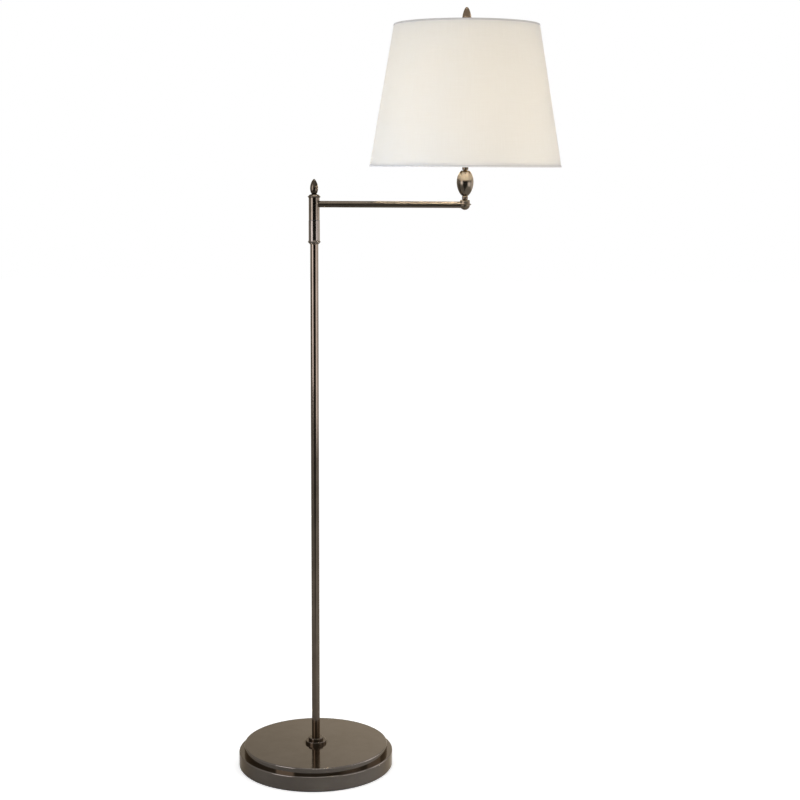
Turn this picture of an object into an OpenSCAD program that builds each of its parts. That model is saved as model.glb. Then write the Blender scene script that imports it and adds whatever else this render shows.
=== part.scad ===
// Bridge floor lamp: a stepped round base carries a slim pole; at its head a swivel hub swings a
// side arm, and the arm's end holds a turned egg, the lamp holder and a harp with a cone shade.
// Millimetres, +Z up. The origin is on the floor, on the pole's axis; the arm points along +X.

$fn = 96;

/* [Base] */
// Diameter of the lower base disc
base_d = 277; // [266:1:320]
// Height of the lower base disc, without the felt
base_h = 25.5; // [22:0.1:34]
// Diameter of the upper base disc
step_d = 258; // [200:0.5:260]
// Height of the upper base disc
step_h = 11.8; // [10:0.1:20]
// Rounding of the spun covers' top edges
edge_r = 1.9; // [1.8:0.1:4]
// Sheet thickness of the spun covers
cover_t = 1.5; // [1:0.1:1.7]
// Thickness of the felt under the base
felt_t = 2; // [1:0.5:4]
// How far the felt stays inside the base's edge
felt_inset = 1.5; // [1:0.5:4]
// Web thickness of the cast weight
weight_web = 10; // [8:0.5:12]
// Width of the cast weight's rim
weight_rim = 14; // [11:0.5:20]
// Number of ribs under the cast weight
rib_count = 8; // [4:4:12]
// Thickness of one rib
rib_t = 8; // [6:0.5:12]

/* [Cord inlet] */
// Bore of the cord bushing
bushing_bore_d = 5.5; // [4:0.1:6.5]
// Outside diameter of the bushing's barrel
bushing_d = 8.8; // [8:0.1:9.2]
// Height of the bushing's axis above the floor
bushing_z = 10; // [9:0.2:11.4]

/* [Clamping rod] */
// Diameter of the hollow rod that clamps base and pole
rod_d = 9.6; // [8.6:0.2:10]
// Bore of the hollow rod
rod_bore_d = 6.4; // [5:0.2:7]
// How far the rod reaches into the pole
rod_reach = 16; // [14:1:30]
// Width across flats of the base nut
nut_af = 15; // [14:0.5:17]
// Height of the base nut
nut_h = 4.6; // [4:0.2:5]
// Thickness of the flat washer
washer_flat_t = 1.6; // [1.2:0.1:2]
// Thickness of the split washer
washer_split_t = 1.4; // [1:0.1:1.6]

/* [Foot collar] */
// Diameter of the collar's lower tier
collar_d = 37.4; // [32:0.2:48]
// Height of the collar's lower tier
collar_h = 5; // [4:0.2:8]
// Diameter of the collar's upper tier
collar_top_d = 26.6; // [22:0.2:30]
// Height of the collar's upper tier
collar_top_h = 5.4; // [4:0.2:8]

/* [Pole] */
// Outside diameter of the pole
pole_d = 14.2; // [13.6:0.1:14.4]
// Wall of the pole and of its end bushing's seat
pole_wall = 1.1; // [0.9:0.1:1.2]
// Length of the pole from the base's deck
pole_l = 922; // [700:1:1100]

/* [Swing joint] */
// Outside diameter of the fixed sleeve on the pole
sleeve_d = 19.4; // [18.4:0.1:20]
// Length of the fixed sleeve
sleeve_l = 41; // [36:0.5:60]
// How far the sleeve grips the pole
sleeve_grip = 22; // [15:0.5:24]
// Outside diameter of the swinging hub
hub_d = 18.8; // [18.2:0.1:20]
// Length of the swinging hub
hub_l = 38; // [37:0.5:50]
// Height of the arm's axis above the hub's lower face
arm_rise = 27; // [25.6:0.1:27.4]
// Diameter of the moulded lips on sleeve and cap
lip_d = 22.2; // [20.6:0.1:24]
// Diameter of the hollow spindle that the hub turns on
spindle_d = 10; // [9.6:0.1:10.4]
// Bore of the spindle, for the wires
spindle_bore_d = 6.4; // [5:0.2:7]
// Length of the bearing in the hub
bearing_l = 14; // [10:0.5:14]
// Thickness of the thrust washer
thrust_t = 0.6; // [0.4:0.1:1]
// Diameter of the stop pin
stop_d = 1.8; // [1.4:0.1:2]
// Swing of the arm to each side before the pin stops it, in degrees
swing_limit = 165; // [120:1:166]

/* [Arm] */
// Outside diameter of the arm tube
arm_d = 11.3; // [10:0.1:11.4]
// Wall of the arm tube
arm_wall = 1.2; // [0.8:0.1:1.6]
// Distance from the pole's axis to the shade's axis
arm_l = 260; // [240:1:320]

/* [Pole finial] */
// Height of the domed cap under the finial
cap_h = 6.6; // [6:0.1:9]
// Largest diameter of the acorn
acorn_d = 13.9; // [12:0.1:16]
// Height of the acorn below its widest place
acorn_low = 9; // [8:0.1:10]
// Height of the acorn above its widest place
acorn_high = 16.6; // [12:0.1:20]

/* [Elbow and egg] */
// Diameter of the ball elbow
ball_d = 17.8; // [16.6:0.1:18]
// Diameter of the bead round the elbow
bead_d = 22.4; // [20:0.1:24]
// Height of the bead's middle above the arm's axis
bead_rise = 0.7; // [0:0.1:2]
// Height of the elbow above the arm's axis
ball_rise = 8.4; // [8:0.1:10]
// Diameter of the neck between elbow and egg
neck_d = 10.3; // [9.6:0.1:12]
// Height of the neck
neck_h = 7; // [6:0.1:12]
// Diameter of the egg
egg_d = 29.2; // [26:0.2:36]
// Height of the egg below its widest place
egg_low = 23.5; // [21:0.5:30]
// Height of the egg above its widest place
egg_high = 19.5; // [18:0.5:26]
// Wall of the egg's casting
egg_wall = 2.2; // [1.6:0.1:3]
// Diameter of the threaded tube through egg and holder
tube_d = 8; // [7.6:0.1:8.2]
// Bore of the threaded tube
tube_bore_d = 5.2; // [4:0.1:6]
// Diameter of the check ring that bears the harp's saddle
check_d = 10.6; // [10:0.1:14]
// Height of the check ring
check_h = 5; // [3:0.1:7]
// Bare tube showing between egg and check ring
check_gap = 1.1; // [0.5:0.1:3]

/* [Harp] */
// Height of the shade's seat above the saddle's underside
harp_h = 226.1; // [222:0.1:250]
// Wire diameter of the harp
harp_wire_d = 3.2; // [2.8:0.1:3.6]
// Widest inside distance from the shade's axis to the harp's wire
harp_reach = 55; // [45:1:70]
// Half the distance between the saddle's two lugs
lug_x = 29; // [26:0.5:32]
// Sheet thickness of the saddle
saddle_t = 1.6; // [1.2:0.1:2]
// Width of the saddle
saddle_w = 14; // [12:0.5:18]
// Diameter of the stud that the shade's spider slips over
stud_d = 6.3; // [5.6:0.1:7]

/* [Lamp holder and bulb] */
// Diameter of the holder's shell
holder_d = 32; // [31.6:0.2:36]
// Sheet thickness of cap and shell
holder_t = 0.7; // [0.5:0.1:0.8]
// Height of the holder's cap
holder_cap_h = 20; // [18:0.5:22]
// Height of the whole holder
holder_h = 56; // [54:0.5:62]
// Diameter of the bulb's screw cap
bulb_cap_d = 26.2; // [25.8:0.1:26.4]
// Height of the bulb's screw cap
bulb_cap_h = 26; // [24:0.5:30]
// Diameter of the bulb's envelope
bulb_d = 60; // [50:1:70]
// Height of the whole bulb
bulb_h = 108; // [104:1:125]
// Diameter of the switch's shaft
switch_shaft_d = 3.2; // [2.6:0.1:4]
// Diameter of the switch's knob
switch_knob_d = 9.6; // [8:0.2:14]
// Length of the switch's knob
switch_knob_l = 12; // [8:0.5:18]

/* [Shade] */
// Diameter of the shade at its lower edge
shade_low_d = 330; // [300:1:400]
// Diameter of the shade at its upper edge
shade_top_d = 248; // [200:1:290]
// Height of the shade
shade_h = 239.8; // [200:0.2:260]
// Thickness of the linen on its stiff backing
shade_t = 1.2; // [0.8:0.1:2]
// Thickness of the edge tape
tape_t = 0.4; // [0.2:0.1:0.6]
// Height of the edge tape on the outside
tape_h = 3; // [2:0.5:8]
// Depth of the spider's hub below the upper edge
spider_drop = 12; // [8:0.5:25]
// Wire diameter of the shade's rings and spokes
ring_wire_d = 2.6; // [2:0.1:3.4]
// Number of the spider's spokes
spoke_count = 3; // [3:1:4]
// Thickness of the spider's hub
spider_t = 1.6; // [1:0.1:2.4]
// Height of the shade finial's stem, below its bullet
finial_stem_h = 23.4; // [20:0.1:30]
// Diameter of the shade finial's bullet
finial_d = 15.2; // [12:0.1:18]
// Height of the shade finial's bullet
finial_h = 16.9; // [12:0.1:24]

/* [Clearances] */
// Radial clearance of parts that are screwed, pressed or brazed together
seat_gap = 0.05; // [0.03:0.01:0.1]
// Radial clearance of parts that turn in each other
run_gap = 0.06; // [0.03:0.01:0.1]
// Gap between faces that turn past each other
face_gap = 0.2; // [0.1:0.05:0.4]

/* [Hidden] */
eps = 0.5;          // overshoot of a cut past the face it opens
curve_steps = 28;   // straight pieces in a turned curve

// Levels of the base and pole, from the floor up
base_z1 = felt_t + base_h;
deck_z = base_z1 + step_h;
pole_z1 = deck_z + pole_l;
weight_z1 = base_z1 - cover_t;
weight_z0 = weight_z1 - weight_web;
weight_r = base_d / 2 - cover_t - seat_gap;
boss_r = 20;
boss_h = 2;
washer_z0 = weight_z0 - boss_h - washer_flat_t;
split_z0 = washer_z0 - washer_split_t;
nut_z0 = split_z0 - nut_h;
rod_z0 = nut_z0 - 1;
rod_r = rod_d / 2;
washer_r = 12;
split_washer_r = rod_r + 3;
pole_r = pole_d / 2;
pole_bore_r = pole_r - pole_wall;

// Levels of the swing joint
sleeve_z0 = pole_z1 - sleeve_grip;
lip_cone_h = 3.6;                           // cone under the sleeve's lip
lip_hollow_h = 3.4;                         // hollow curve over it
joint_z = sleeve_z0 + sleeve_l;
flange_h = 3;                               // flange of the spindle, on the pole's end
spindle_plug = 12;                          // length of the spindle inside the pole
hub_z0 = joint_z + thrust_t + face_gap;
hub_z1 = hub_z0 + hub_l;
arm_z = hub_z0 + arm_rise;
spindle_nut_af = 12;
spindle_nut_h = 3.4;
spindle_nut_z0 = hub_z0 + bearing_l + face_gap;
spindle_z1 = spindle_nut_z0 + spindle_nut_h + 0.6;
spindle_r = spindle_d / 2;
hub_r = hub_d / 2;
hub_cavity_r = hub_r - 2;
hub_bearing_r = spindle_r + run_gap;
stop_r = (hub_bearing_r + hub_r) / 2;       // circle on which the stop pin stands
stop_seat = 5;                              // how deep the stop pin stands in the sleeve
stop_rise = 2.2;                            // how deep the stop pin stands in the hub's groove
groove_d = stop_rise + 0.5;                 // depth of the stop groove in the hub's face
groove_half_w = stop_d / 2 + 0.2;
stop_land = 180 - swing_limit - asin(stop_d / 2 / stop_r) - 0.5;

// Levels of cap and acorn on the hub
cap_plug_h = 3.5;
cap_stud_r = 2;
cap_seat_r = 4.6;                           // flat that the acorn stands on
acorn_z0 = hub_z1 + cap_h;
acorn_mid_z = acorn_z0 + acorn_low;

// Levels above the arm's end
ball_r = ball_d / 2;
ball_cavity_r = 5.4;
ball_seam = arm_d / 2 + 0.45;               // the elbow's lower cap starts just under the arm
arm_x0 = hub_cavity_r;
arm_x1 = arm_l - ball_cavity_r - 0.4;
neck_z0 = arm_z + ball_rise;
egg_z0 = neck_z0 + neck_h;
egg_mid_z = egg_z0 + egg_low;
egg_z1 = egg_mid_z + egg_high;
check_z0 = egg_z1 + check_gap;
saddle_z0 = check_z0 + check_h;
saddle_z1 = saddle_z0 + saddle_t;
saddle_nut_af = 12.5;
saddle_nut_h = 2.5;
tube_r = tube_d / 2;
neck_spigot = 5;                            // threaded spigots of the neck
tube_sink = 8;                              // length of the tube's thread in the egg

// Levels of the lamp holder and bulb
holder_z0 = saddle_z1 + saddle_nut_h;
holder_r = holder_d / 2;
holder_cap_z1 = holder_z0 + holder_cap_h;
holder_z1 = holder_z0 + holder_h;
shell_z0 = holder_cap_z1 - 4;
shell_r = holder_r;
cap_r = shell_r + seat_gap + holder_t;
liner_r = shell_r - holder_t - seat_gap;
throat_r = 6.6;                             // narrow foot of the holder's cap
throat_h = 4;
liner_t = 0.7;
core_r = liner_r - liner_t - seat_gap;
core_z0 = holder_z0 + 9;
core_z1 = holder_cap_z1 + 10;
switch_z = holder_cap_z1 + 5;
screw_shell_t = 0.4;
screw_shell_z1 = holder_z1 - 5;
tube_z1 = core_z0 - 1;
contact_t = 0.6;
shaft_y0 = 6;                               // the switch's shaft ends this far before the core's centre
knob_y0 = 25;                               // inner face of the knob, from the shade's axis
knob_seat = switch_knob_l - 2;              // how far the shaft reaches into the knob
bulb_z0 = core_z1 + 2 * contact_t;          // tip of the bulb's centre contact
bulb_cap_z0 = bulb_z0 + 2.4;
bulb_cap_z1 = bulb_z0 + bulb_cap_h;
bulb_r = bulb_d / 2;
bulb_mid_z = bulb_z0 + bulb_h - bulb_r;
bulb_cap_r = bulb_cap_d / 2;
glass_t = 0.9;
glass_neck_r = bulb_cap_r - 0.1;
glass_neck_z = bulb_cap_z1 + 4;

// Levels of the harp and shade
harp_r = harp_wire_d / 2;
leg_x = lug_x + saddle_t / 2 + harp_r + seat_gap;
leg_z0 = saddle_z0 + 8;
leg_z1 = saddle_z0 + 27;
lug_top_z = saddle_z0 + 22;
ferrule_x = (lug_x - saddle_t / 2 + leg_x + harp_r) / 2;
ferrule_l = 11;
ferrule_z0 = lug_top_z - ferrule_l;
ferrule_bore_r = 3.35;
lug_half_w = 2.1;
seat_z = saddle_z0 + harp_h;
seat_t = 1.6;
seat_r = 9;
seat_boss_r = 4.6;
seat_boss_h = 7;
harp_top_z = seat_z - seat_t - seat_boss_h / 2;
sweep_angle = 30;                           // lean of the harp's shoulder
sweep_r = (harp_reach - leg_x) / 2 / (1 - cos(sweep_angle));
sweep_h = 2 * sweep_r * sin(sweep_angle);
shoulder_z = leg_z1 + sweep_h;
stud_r = stud_d / 2;
spider_hub_r = 12;
spider_z1 = seat_z + spider_t;
shade_z1 = spider_z1 + spider_drop;
shade_z0 = shade_z1 - shade_h;
finial_z0 = spider_z1 + face_gap;
stud_l = spider_t + 12;
ring_r = ring_wire_d / 2;
tape_fold = 2;                              // inner fold of the edge tapes
top_ring_z = shade_z1 - tape_fold - ring_wire_d;
low_ring_z = shade_z0 + tape_fold + ring_wire_d;
shade_slope = (shade_low_d - shade_top_d) / 2 / shade_h;

// Colours
BRONZE = [0.42, 0.37, 0.32];
BRASS = [0.78, 0.64, 0.36];
STEEL = [0.66, 0.67, 0.69];
IRON = [0.25, 0.25, 0.26];
BLACK = [0.08, 0.08, 0.08];
LINEN = [0.93, 0.90, 0.86];
CARD = [0.72, 0.63, 0.48];
GLASS = [0.98, 0.96, 0.90];

// Outside radius of the shade at height z
function shade_r(z) = shade_low_d / 2 - (z - shade_z0) * shade_slope;

// Radius of a turned swelling, rise above its widest place out of reach, with its two powers
function swell(r, rise, reach, p, q) = r * pow(1 - pow(min(1, abs(rise) / reach), p), q);

// Reach at which a swelling of power p and root q has shrunk from r to end_r after rise
function reach_for(r, end_r, rise, p, q) = rise / pow(1 - pow(end_r / r, 1 / q), 1 / p);

// Points of an arc about [x, z], from angle a0 to a1
function arc(x, z, r, a0, a1, n = 8) =
    [for (i = [0:n]) let (a = a0 + (a1 - a0) * i / n) [x + r * cos(a), z + r * sin(a)]];

module tube(r_out, r_in, h) {
    difference() {
        cylinder(r = r_out, h = h);
        translate([0, 0, -eps]) cylinder(r = r_in, h = h + 2 * eps);
    }
}

module at_shade_axis(z = 0) {
    translate([arm_l, 0, z]) children();
}

module hexagon(af, h) {
    linear_extrude(h) circle(d = af / cos(30), $fn = 6);
}

// ---- Base -------------------------------------------------------------------------------

module felt_pad() {
    color(BLACK) cylinder(r = base_d / 2 - felt_inset, h = felt_t);
}

// A dished iron casting: web, rim, hub boss and radial ribs, with a way out for the cord
module base_weight() {
    rib_share = 0.6;
    rib_h = (weight_z0 - felt_t) * rib_share;
    rib_x0 = boss_r - rib_t / 4;
    rib_x1 = weight_r - weight_rim / 2;
    color(IRON) difference() {
        union() {
            translate([0, 0, weight_z0]) cylinder(r = weight_r, h = weight_web);
            translate([0, 0, felt_t]) tube(weight_r, weight_r - weight_rim, weight_z0 - felt_t + eps);
            translate([0, 0, weight_z0 - boss_h]) cylinder(r = boss_r, h = boss_h + eps);
            for (i = [0:rib_count - 1])
                rotate([0, 0, (i + 0.5) * 360 / rib_count])
                    translate([rib_x0, -rib_t / 2, weight_z0 - rib_h])
                        cube([rib_x1 - rib_x0, rib_t, rib_h + eps]);
        }
        translate([0, 0, felt_t]) cylinder(r = rod_r + seat_gap, h = base_h);
        // clearance for washer and nut among the ribs
        translate([0, 0, felt_t - eps]) cylinder(r = boss_r, h = weight_z0 - boss_h - felt_t + eps);
        rear_hole(bushing_d / 2 + seat_gap);
        // the weight's corner follows the cover's rounded inside edge
        translate([0, 0, weight_z1 - edge_r + cover_t]) edge_cut(weight_r, edge_r - cover_t);
    }
}

// What a rounding of radius r takes off the top outer edge of a disc of radius disc_r
module edge_cut(disc_r, r) {
    rotate_extrude() difference() {
        translate([disc_r - r, 0]) square([r + eps, r + eps]);
        translate([disc_r - r, 0]) circle(r = r);
    }
}

// A radial hole through the rear wall of the base, along +Y
module rear_hole(r) {
    wall = base_d / 2 - weight_r + weight_rim;
    translate([0, base_d / 2 + eps, bushing_z]) rotate([90, 0, 0])
        cylinder(r = r, h = wall + 2 * eps);
}

module step_weight() {
    r = step_d / 2 - cover_t - seat_gap;
    color(IRON) difference() {
        translate([0, 0, base_z1]) cylinder(r = r, h = step_h - cover_t);
        translate([0, 0, base_z1 - eps]) cylinder(r = rod_r + seat_gap, h = step_h);
        translate([0, 0, deck_z - edge_r]) edge_cut(r, edge_r - cover_t);
    }
}

// A spun cover: a disc with a rounded edge and a straight wall, open below
module spun_cover(r, z0, h) {
    inner_r = edge_r - cover_t;
    translate([0, 0, z0]) rotate_extrude() difference() {
        union() {
            square([r - edge_r, h]);
            square([r, h - edge_r]);
            translate([r - edge_r, h - edge_r]) circle(r = edge_r);
        }
        translate([0, -eps]) square([r - cover_t, h - edge_r + eps]);
        translate([0, -eps]) square([r - edge_r, h - cover_t + eps]);
        translate([r - edge_r, h - edge_r]) circle(r = inner_r);
        translate([0, -eps]) square([rod_r + seat_gap, h + 2 * eps]);
    }
}

module base_cover() {
    color(BRONZE) difference() {
        spun_cover(base_d / 2, felt_t, base_h);
        rear_hole(bushing_d / 2 + seat_gap);
    }
}

module step_cover() {
    color(BRONZE) spun_cover(step_d / 2, base_z1, step_h);
}

module cord_bushing() {
    flange_t = 1.6;
    flange_r = bushing_d / 2 + flange_t;
    barrel_l = weight_rim - flange_t;
    color(BLACK) translate([0, base_d / 2, bushing_z]) rotate([-90, 0, 0]) difference() {
        union() {
            cylinder(r = flange_r, h = flange_t);
            translate([0, 0, -barrel_l]) cylinder(r = bushing_d / 2, h = barrel_l + eps);
        }
        translate([0, 0, -barrel_l - eps])
            cylinder(d = bushing_bore_d, h = barrel_l + flange_t + 2 * eps);
    }
}

module base_rod() {
    rod_l = deck_z + rod_reach - rod_z0;
    color(STEEL) translate([0, 0, rod_z0]) tube(rod_r, rod_bore_d / 2, rod_l);
}

module base_washer() {
    color(STEEL) translate([0, 0, washer_z0]) tube(washer_r, rod_r + seat_gap, washer_flat_t);
}

module split_washer() {
    slit_w = 2;
    color(STEEL) difference() {
        translate([0, 0, split_z0]) tube(split_washer_r, rod_r + seat_gap, washer_split_t);
        translate([0, -slit_w / 2, split_z0 - eps])
            cube([split_washer_r + eps, slit_w, washer_split_t + 2 * eps]);
    }
}

module base_nut() {
    color(STEEL) translate([0, 0, nut_z0]) difference() {
        hexagon(nut_af, nut_h);
        translate([0, 0, -eps]) cylinder(r = rod_r + seat_gap, h = nut_h + 2 * eps);
    }
}

// ---- Pole -------------------------------------------------------------------------------

// Two-tier turned collar that hides the joint between deck and pole
module foot_collar() {
    round_r = 0.9;
    color(BRONZE) translate([0, 0, deck_z]) rotate_extrude() difference() {
        union() {
            rounded_tier(collar_d / 2, collar_h, round_r);
            rounded_tier(collar_top_d / 2, collar_h + collar_top_h, round_r);
        }
        translate([0, -eps]) square([pole_r + seat_gap, collar_h + collar_top_h + 2 * eps]);
    }
}

// Half section of a disc with its top outer edge rounded
module rounded_tier(r, h, round_r) {
    square([r - round_r, h]);
    square([r, h - round_r]);
    translate([r - round_r, h - round_r]) circle(r = round_r);
}

module pole_foot_bush() {
    rod_proud = 2;
    color(STEEL) translate([0, 0, deck_z])
        tube(pole_bore_r - seat_gap, rod_r + seat_gap, rod_reach - rod_proud);
}

module pole() {
    color(BRONZE) translate([0, 0, deck_z]) tube(pole_r, pole_bore_r, pole_l);
}

// ---- Swing joint ------------------------------------------------------------------------

// Half section of the moulded lip round the sleeve, which has radius r: a cone from radius
// end_r, a rounded crest, and a hollow curve that runs out on the sleeve
module lip_profile(r, end_r) {
    crest_r = 0.8;
    crest_z = lip_cone_h + crest_r / 2;
    tip = lip_d / 2 - crest_r;
    polygon(concat(
        [[0, 0], [end_r, 0]],
        arc(tip, crest_z, crest_r, -37, 60),
        [[(tip + r) / 2, lip_cone_h + lip_hollow_h / 2]],
        [[r, lip_cone_h + lip_hollow_h], [0, lip_cone_h + lip_hollow_h]]
    ));
}

module lower_sleeve() {
    r = sleeve_d / 2;
    foot_wall = 0.6;
    web_z = pole_z1 + flange_h - sleeve_z0;
    color(BRONZE) translate([0, 0, sleeve_z0]) difference() {
        rotate_extrude() difference() {
            union() {
                lip_profile(r, pole_r + foot_wall);
                translate([0, lip_cone_h]) square([r, sleeve_l - lip_cone_h]);
            }
            translate([0, -eps]) square([pole_r + seat_gap, web_z + eps]);
            square([spindle_r + seat_gap, sleeve_l + eps]);
        }
        translate([stop_r, 0, sleeve_l - stop_seat])
            cylinder(d = stop_d + 2 * seat_gap, h = stop_seat + eps);
    }
}

module swing_spindle() {
    plug_r = pole_bore_r - seat_gap;
    color(STEEL) translate([0, 0, pole_z1]) rotate_extrude() difference() {
        union() {
            translate([0, -spindle_plug]) square([plug_r, spindle_plug]);
            square([pole_r, flange_h]);
            square([spindle_r, spindle_z1 - pole_z1]);
        }
        translate([0, -spindle_plug - eps])
            square([spindle_bore_d / 2, spindle_z1 - pole_z1 + spindle_plug + 2 * eps]);
    }
}

module stop_pin() {
    color(STEEL) translate([stop_r, 0, joint_z - stop_seat])
        cylinder(d = stop_d, h = stop_seat + thrust_t + face_gap + stop_rise);
}

module thrust_washer() {
    setback = 0.3;
    color(BLACK) translate([0, 0, joint_z]) difference() {
        tube(hub_r - setback, spindle_r + seat_gap, thrust_t);
        translate([stop_r, 0, -eps]) cylinder(d = stop_d + 2 * seat_gap, h = thrust_t + 2 * eps);
    }
}

module spindle_nut() {
    color(STEEL) translate([0, 0, spindle_nut_z0]) difference() {
        hexagon(spindle_nut_af, spindle_nut_h);
        translate([0, 0, -eps]) cylinder(r = spindle_r + seat_gap, h = spindle_nut_h + 2 * eps);
    }
}

// The hub turns on the spindle. An arc-shaped groove in its lower face rides over the stop
// pin, and the land left opposite the pin limits the swing.
module swing_hub() {
    color(BRONZE) translate([0, 0, hub_z0]) difference() {
        cylinder(r = hub_r, h = hub_l);
        translate([0, 0, -eps]) cylinder(r = hub_bearing_r, h = bearing_l + 2 * eps);
        translate([0, 0, bearing_l]) cylinder(r = hub_cavity_r, h = hub_l);
        translate([0, 0, arm_rise]) rotate([0, 90, 0])
            cylinder(d = arm_d + 2 * seat_gap, h = hub_r + eps);
        rotate([0, 0, stop_land - 180]) rotate_extrude(angle = 360 - 2 * stop_land)
            translate([stop_r - groove_half_w, -eps]) square([2 * groove_half_w, groove_d + eps]);
    }
}

// A thick rounded lip, a shallow dome above it, and a flat that the acorn stands on
module hub_cap() {
    crest_r = 1.3;
    crest_z = 1.5;
    dome_r = 3.1;
    dome_x = 6;
    dome_z = cap_h - 4;
    seat_rise = 0.4;
    color(BRONZE) translate([0, 0, hub_z1]) rotate_extrude() difference() {
        union() {
            polygon(concat(
                [[0, 0], [hub_r, 0]],
                arc(lip_d / 2 - crest_r, crest_z, crest_r, -70, 80),
                arc(dome_x, dome_z, dome_r, 42, 84),
                [[cap_seat_r, cap_h - seat_rise], [cap_seat_r - seat_rise, cap_h], [0, cap_h]]
            ));
            translate([0, -cap_plug_h]) square([hub_cavity_r - seat_gap, cap_plug_h + eps]);
        }
        translate([0, -cap_plug_h - eps])
            square([cap_stud_r + seat_gap, cap_h + cap_plug_h + 2 * eps]);
    }
}

// Acorn finial: an ellipse below the widest place, a blunt ogive above it
module pole_finial() {
    r = acorn_d / 2;
    foot_r = 4.4;
    ogive_q = 0.72;
    low_reach = reach_for(r, foot_r, acorn_low, 2, 0.5);
    stud_l_down = cap_h + cap_plug_h - 1;
    color(BRONZE) translate([0, 0, acorn_mid_z]) rotate_extrude() {
        polygon(concat(
            [[0, -acorn_low]],
            [for (i = [0:curve_steps / 2]) let (d = -acorn_low * (1 - 2 * i / curve_steps))
                [swell(r, d, low_reach, 2, 0.5), d]],
            [for (i = [1:curve_steps - 1]) let (d = acorn_high * sin(90 * i / curve_steps))
                [swell(r, d, acorn_high, 2, ogive_q), d]],
            [[0, acorn_high]]
        ));
        translate([0, -acorn_low - stud_l_down]) square([cap_stud_r, stud_l_down + eps]);
    }
}

// ---- Arm, elbow and egg -----------------------------------------------------------------

module arm_tube() {
    color(BRONZE) translate([arm_x0, 0, arm_z]) rotate([0, 90, 0])
        tube(arm_d / 2, arm_d / 2 - arm_wall, arm_x1 - arm_x0);
}

// Hollow elbow: a ball below its bead, a flat-topped drum above it. The arm enters at the
// side, the neck on top.
module ball_elbow() {
    top_r = ball_r - 0.5;
    shoulder_r = 1;
    bead_half = 1.1;
    bead_crest = 0.6;
    bead_root = bead_d / 2 - 1;
    cavity_rise = ball_rise - neck_spigot;
    color(BRONZE) at_shade_axis(arm_z) difference() {
        rotate_extrude() union() {
            polygon(concat(
                arc(0, 0, ball_r, -asin(ball_seam / ball_r), 0, 10),
                [[ball_r, bead_rise]],
                arc(top_r - shoulder_r, ball_rise - shoulder_r, shoulder_r, 0, 90, 6),
                [[0, ball_rise], [0, -ball_seam]]
            ));
            translate([0, bead_rise]) polygon(concat(
                [[0, -bead_half], [bead_root, -bead_half]],
                arc(bead_d / 2 - bead_crest, 0, bead_crest, -70, 70, 6),
                [[bead_root, bead_half], [0, bead_half]]
            ));
        }
        translate([0, 0, -ball_seam - eps])
            cylinder(r = ball_cavity_r, h = ball_seam + cavity_rise + eps);
        translate([0, 0, -eps]) cylinder(r = tube_r + seat_gap, h = ball_rise + 2 * eps);
        rotate([0, -90, 0]) cylinder(d = arm_d + 2 * seat_gap, h = bead_d / 2 + eps);
    }
}

// Screwed cap that closes the ball from below and gives access to the wires
module elbow_cap() {
    spigot_h = 1.4;
    color(BRONZE) at_shade_axis(arm_z - ball_seam) {
        rotate_extrude() polygon(concat(
            arc(0, ball_seam, ball_r, -90, -asin(ball_seam / ball_r), 10),
            [[0, 0]]
        ));
        cylinder(r = ball_cavity_r - seat_gap, h = spigot_h);
    }
}

module neck_spool() {
    r = neck_d / 2;
    pinch = 0.5;
    color(BRONZE) at_shade_axis(neck_z0) rotate_extrude() difference() {
        union() {
            polygon([
                [0, 0], [r - pinch, 0], [r - pinch / 3, neck_h * 0.2], [r, neck_h * 0.4],
                [r, neck_h * 0.6], [r - pinch / 3, neck_h * 0.8], [r - pinch, neck_h], [0, neck_h]
            ]);
            translate([0, -neck_spigot]) square([tube_r, neck_h + 2 * neck_spigot]);
        }
        translate([0, -neck_spigot - eps])
            square([tube_bore_d / 2, neck_h + 2 * neck_spigot + 2 * eps]);
    }
}

// Half section of the egg, every surface pulled in by inset: more slender below its widest
// place than above it
module egg_profile(inset) {
    r = egg_d / 2;
    foot_r = 5.1;
    crown_r = 7;
    low_power = 1.75;
    low_reach = reach_for(r, foot_r, egg_low, low_power, 0.5);
    high_reach = reach_for(r, crown_r, egg_high, 2, 0.5);
    z0 = -egg_low + inset * 3.4;
    z1 = egg_high - inset * 4;
    polygon(concat(
        [[0, z0]],
        [for (i = [0:curve_steps]) let (d = z0 * (1 - i / curve_steps))
            [swell(r, d, low_reach, low_power, 0.5) - inset, d]],
        [for (i = [1:curve_steps]) let (d = z1 * i / curve_steps)
            [swell(r, d, high_reach, 2, 0.5) - inset, d]],
        [[0, z1]]
    ));
}

module egg_body() {
    color(BRONZE) at_shade_axis(egg_mid_z) difference() {
        rotate_extrude() egg_profile(0);
        rotate_extrude() egg_profile(egg_wall);
        translate([0, 0, -egg_low - eps]) cylinder(r = tube_r + seat_gap, h = egg_low);
        cylinder(r = tube_r + seat_gap, h = egg_high + eps);
    }
}

module egg_tube() {
    z0 = egg_z1 - tube_sink;
    color(BRASS) at_shade_axis(z0) tube(tube_r, tube_bore_d / 2, tube_z1 - z0);
}

module check_ring() {
    color(BRONZE) at_shade_axis(check_z0) tube(check_d / 2, tube_r + seat_gap, check_h);
}

// ---- Harp -------------------------------------------------------------------------------

// Places its children on both sides of the shade's axis, the second turned half round
module both_sides() {
    for (a = [0, 180]) at_shade_axis() rotate([0, 0, a]) children();
}

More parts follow.
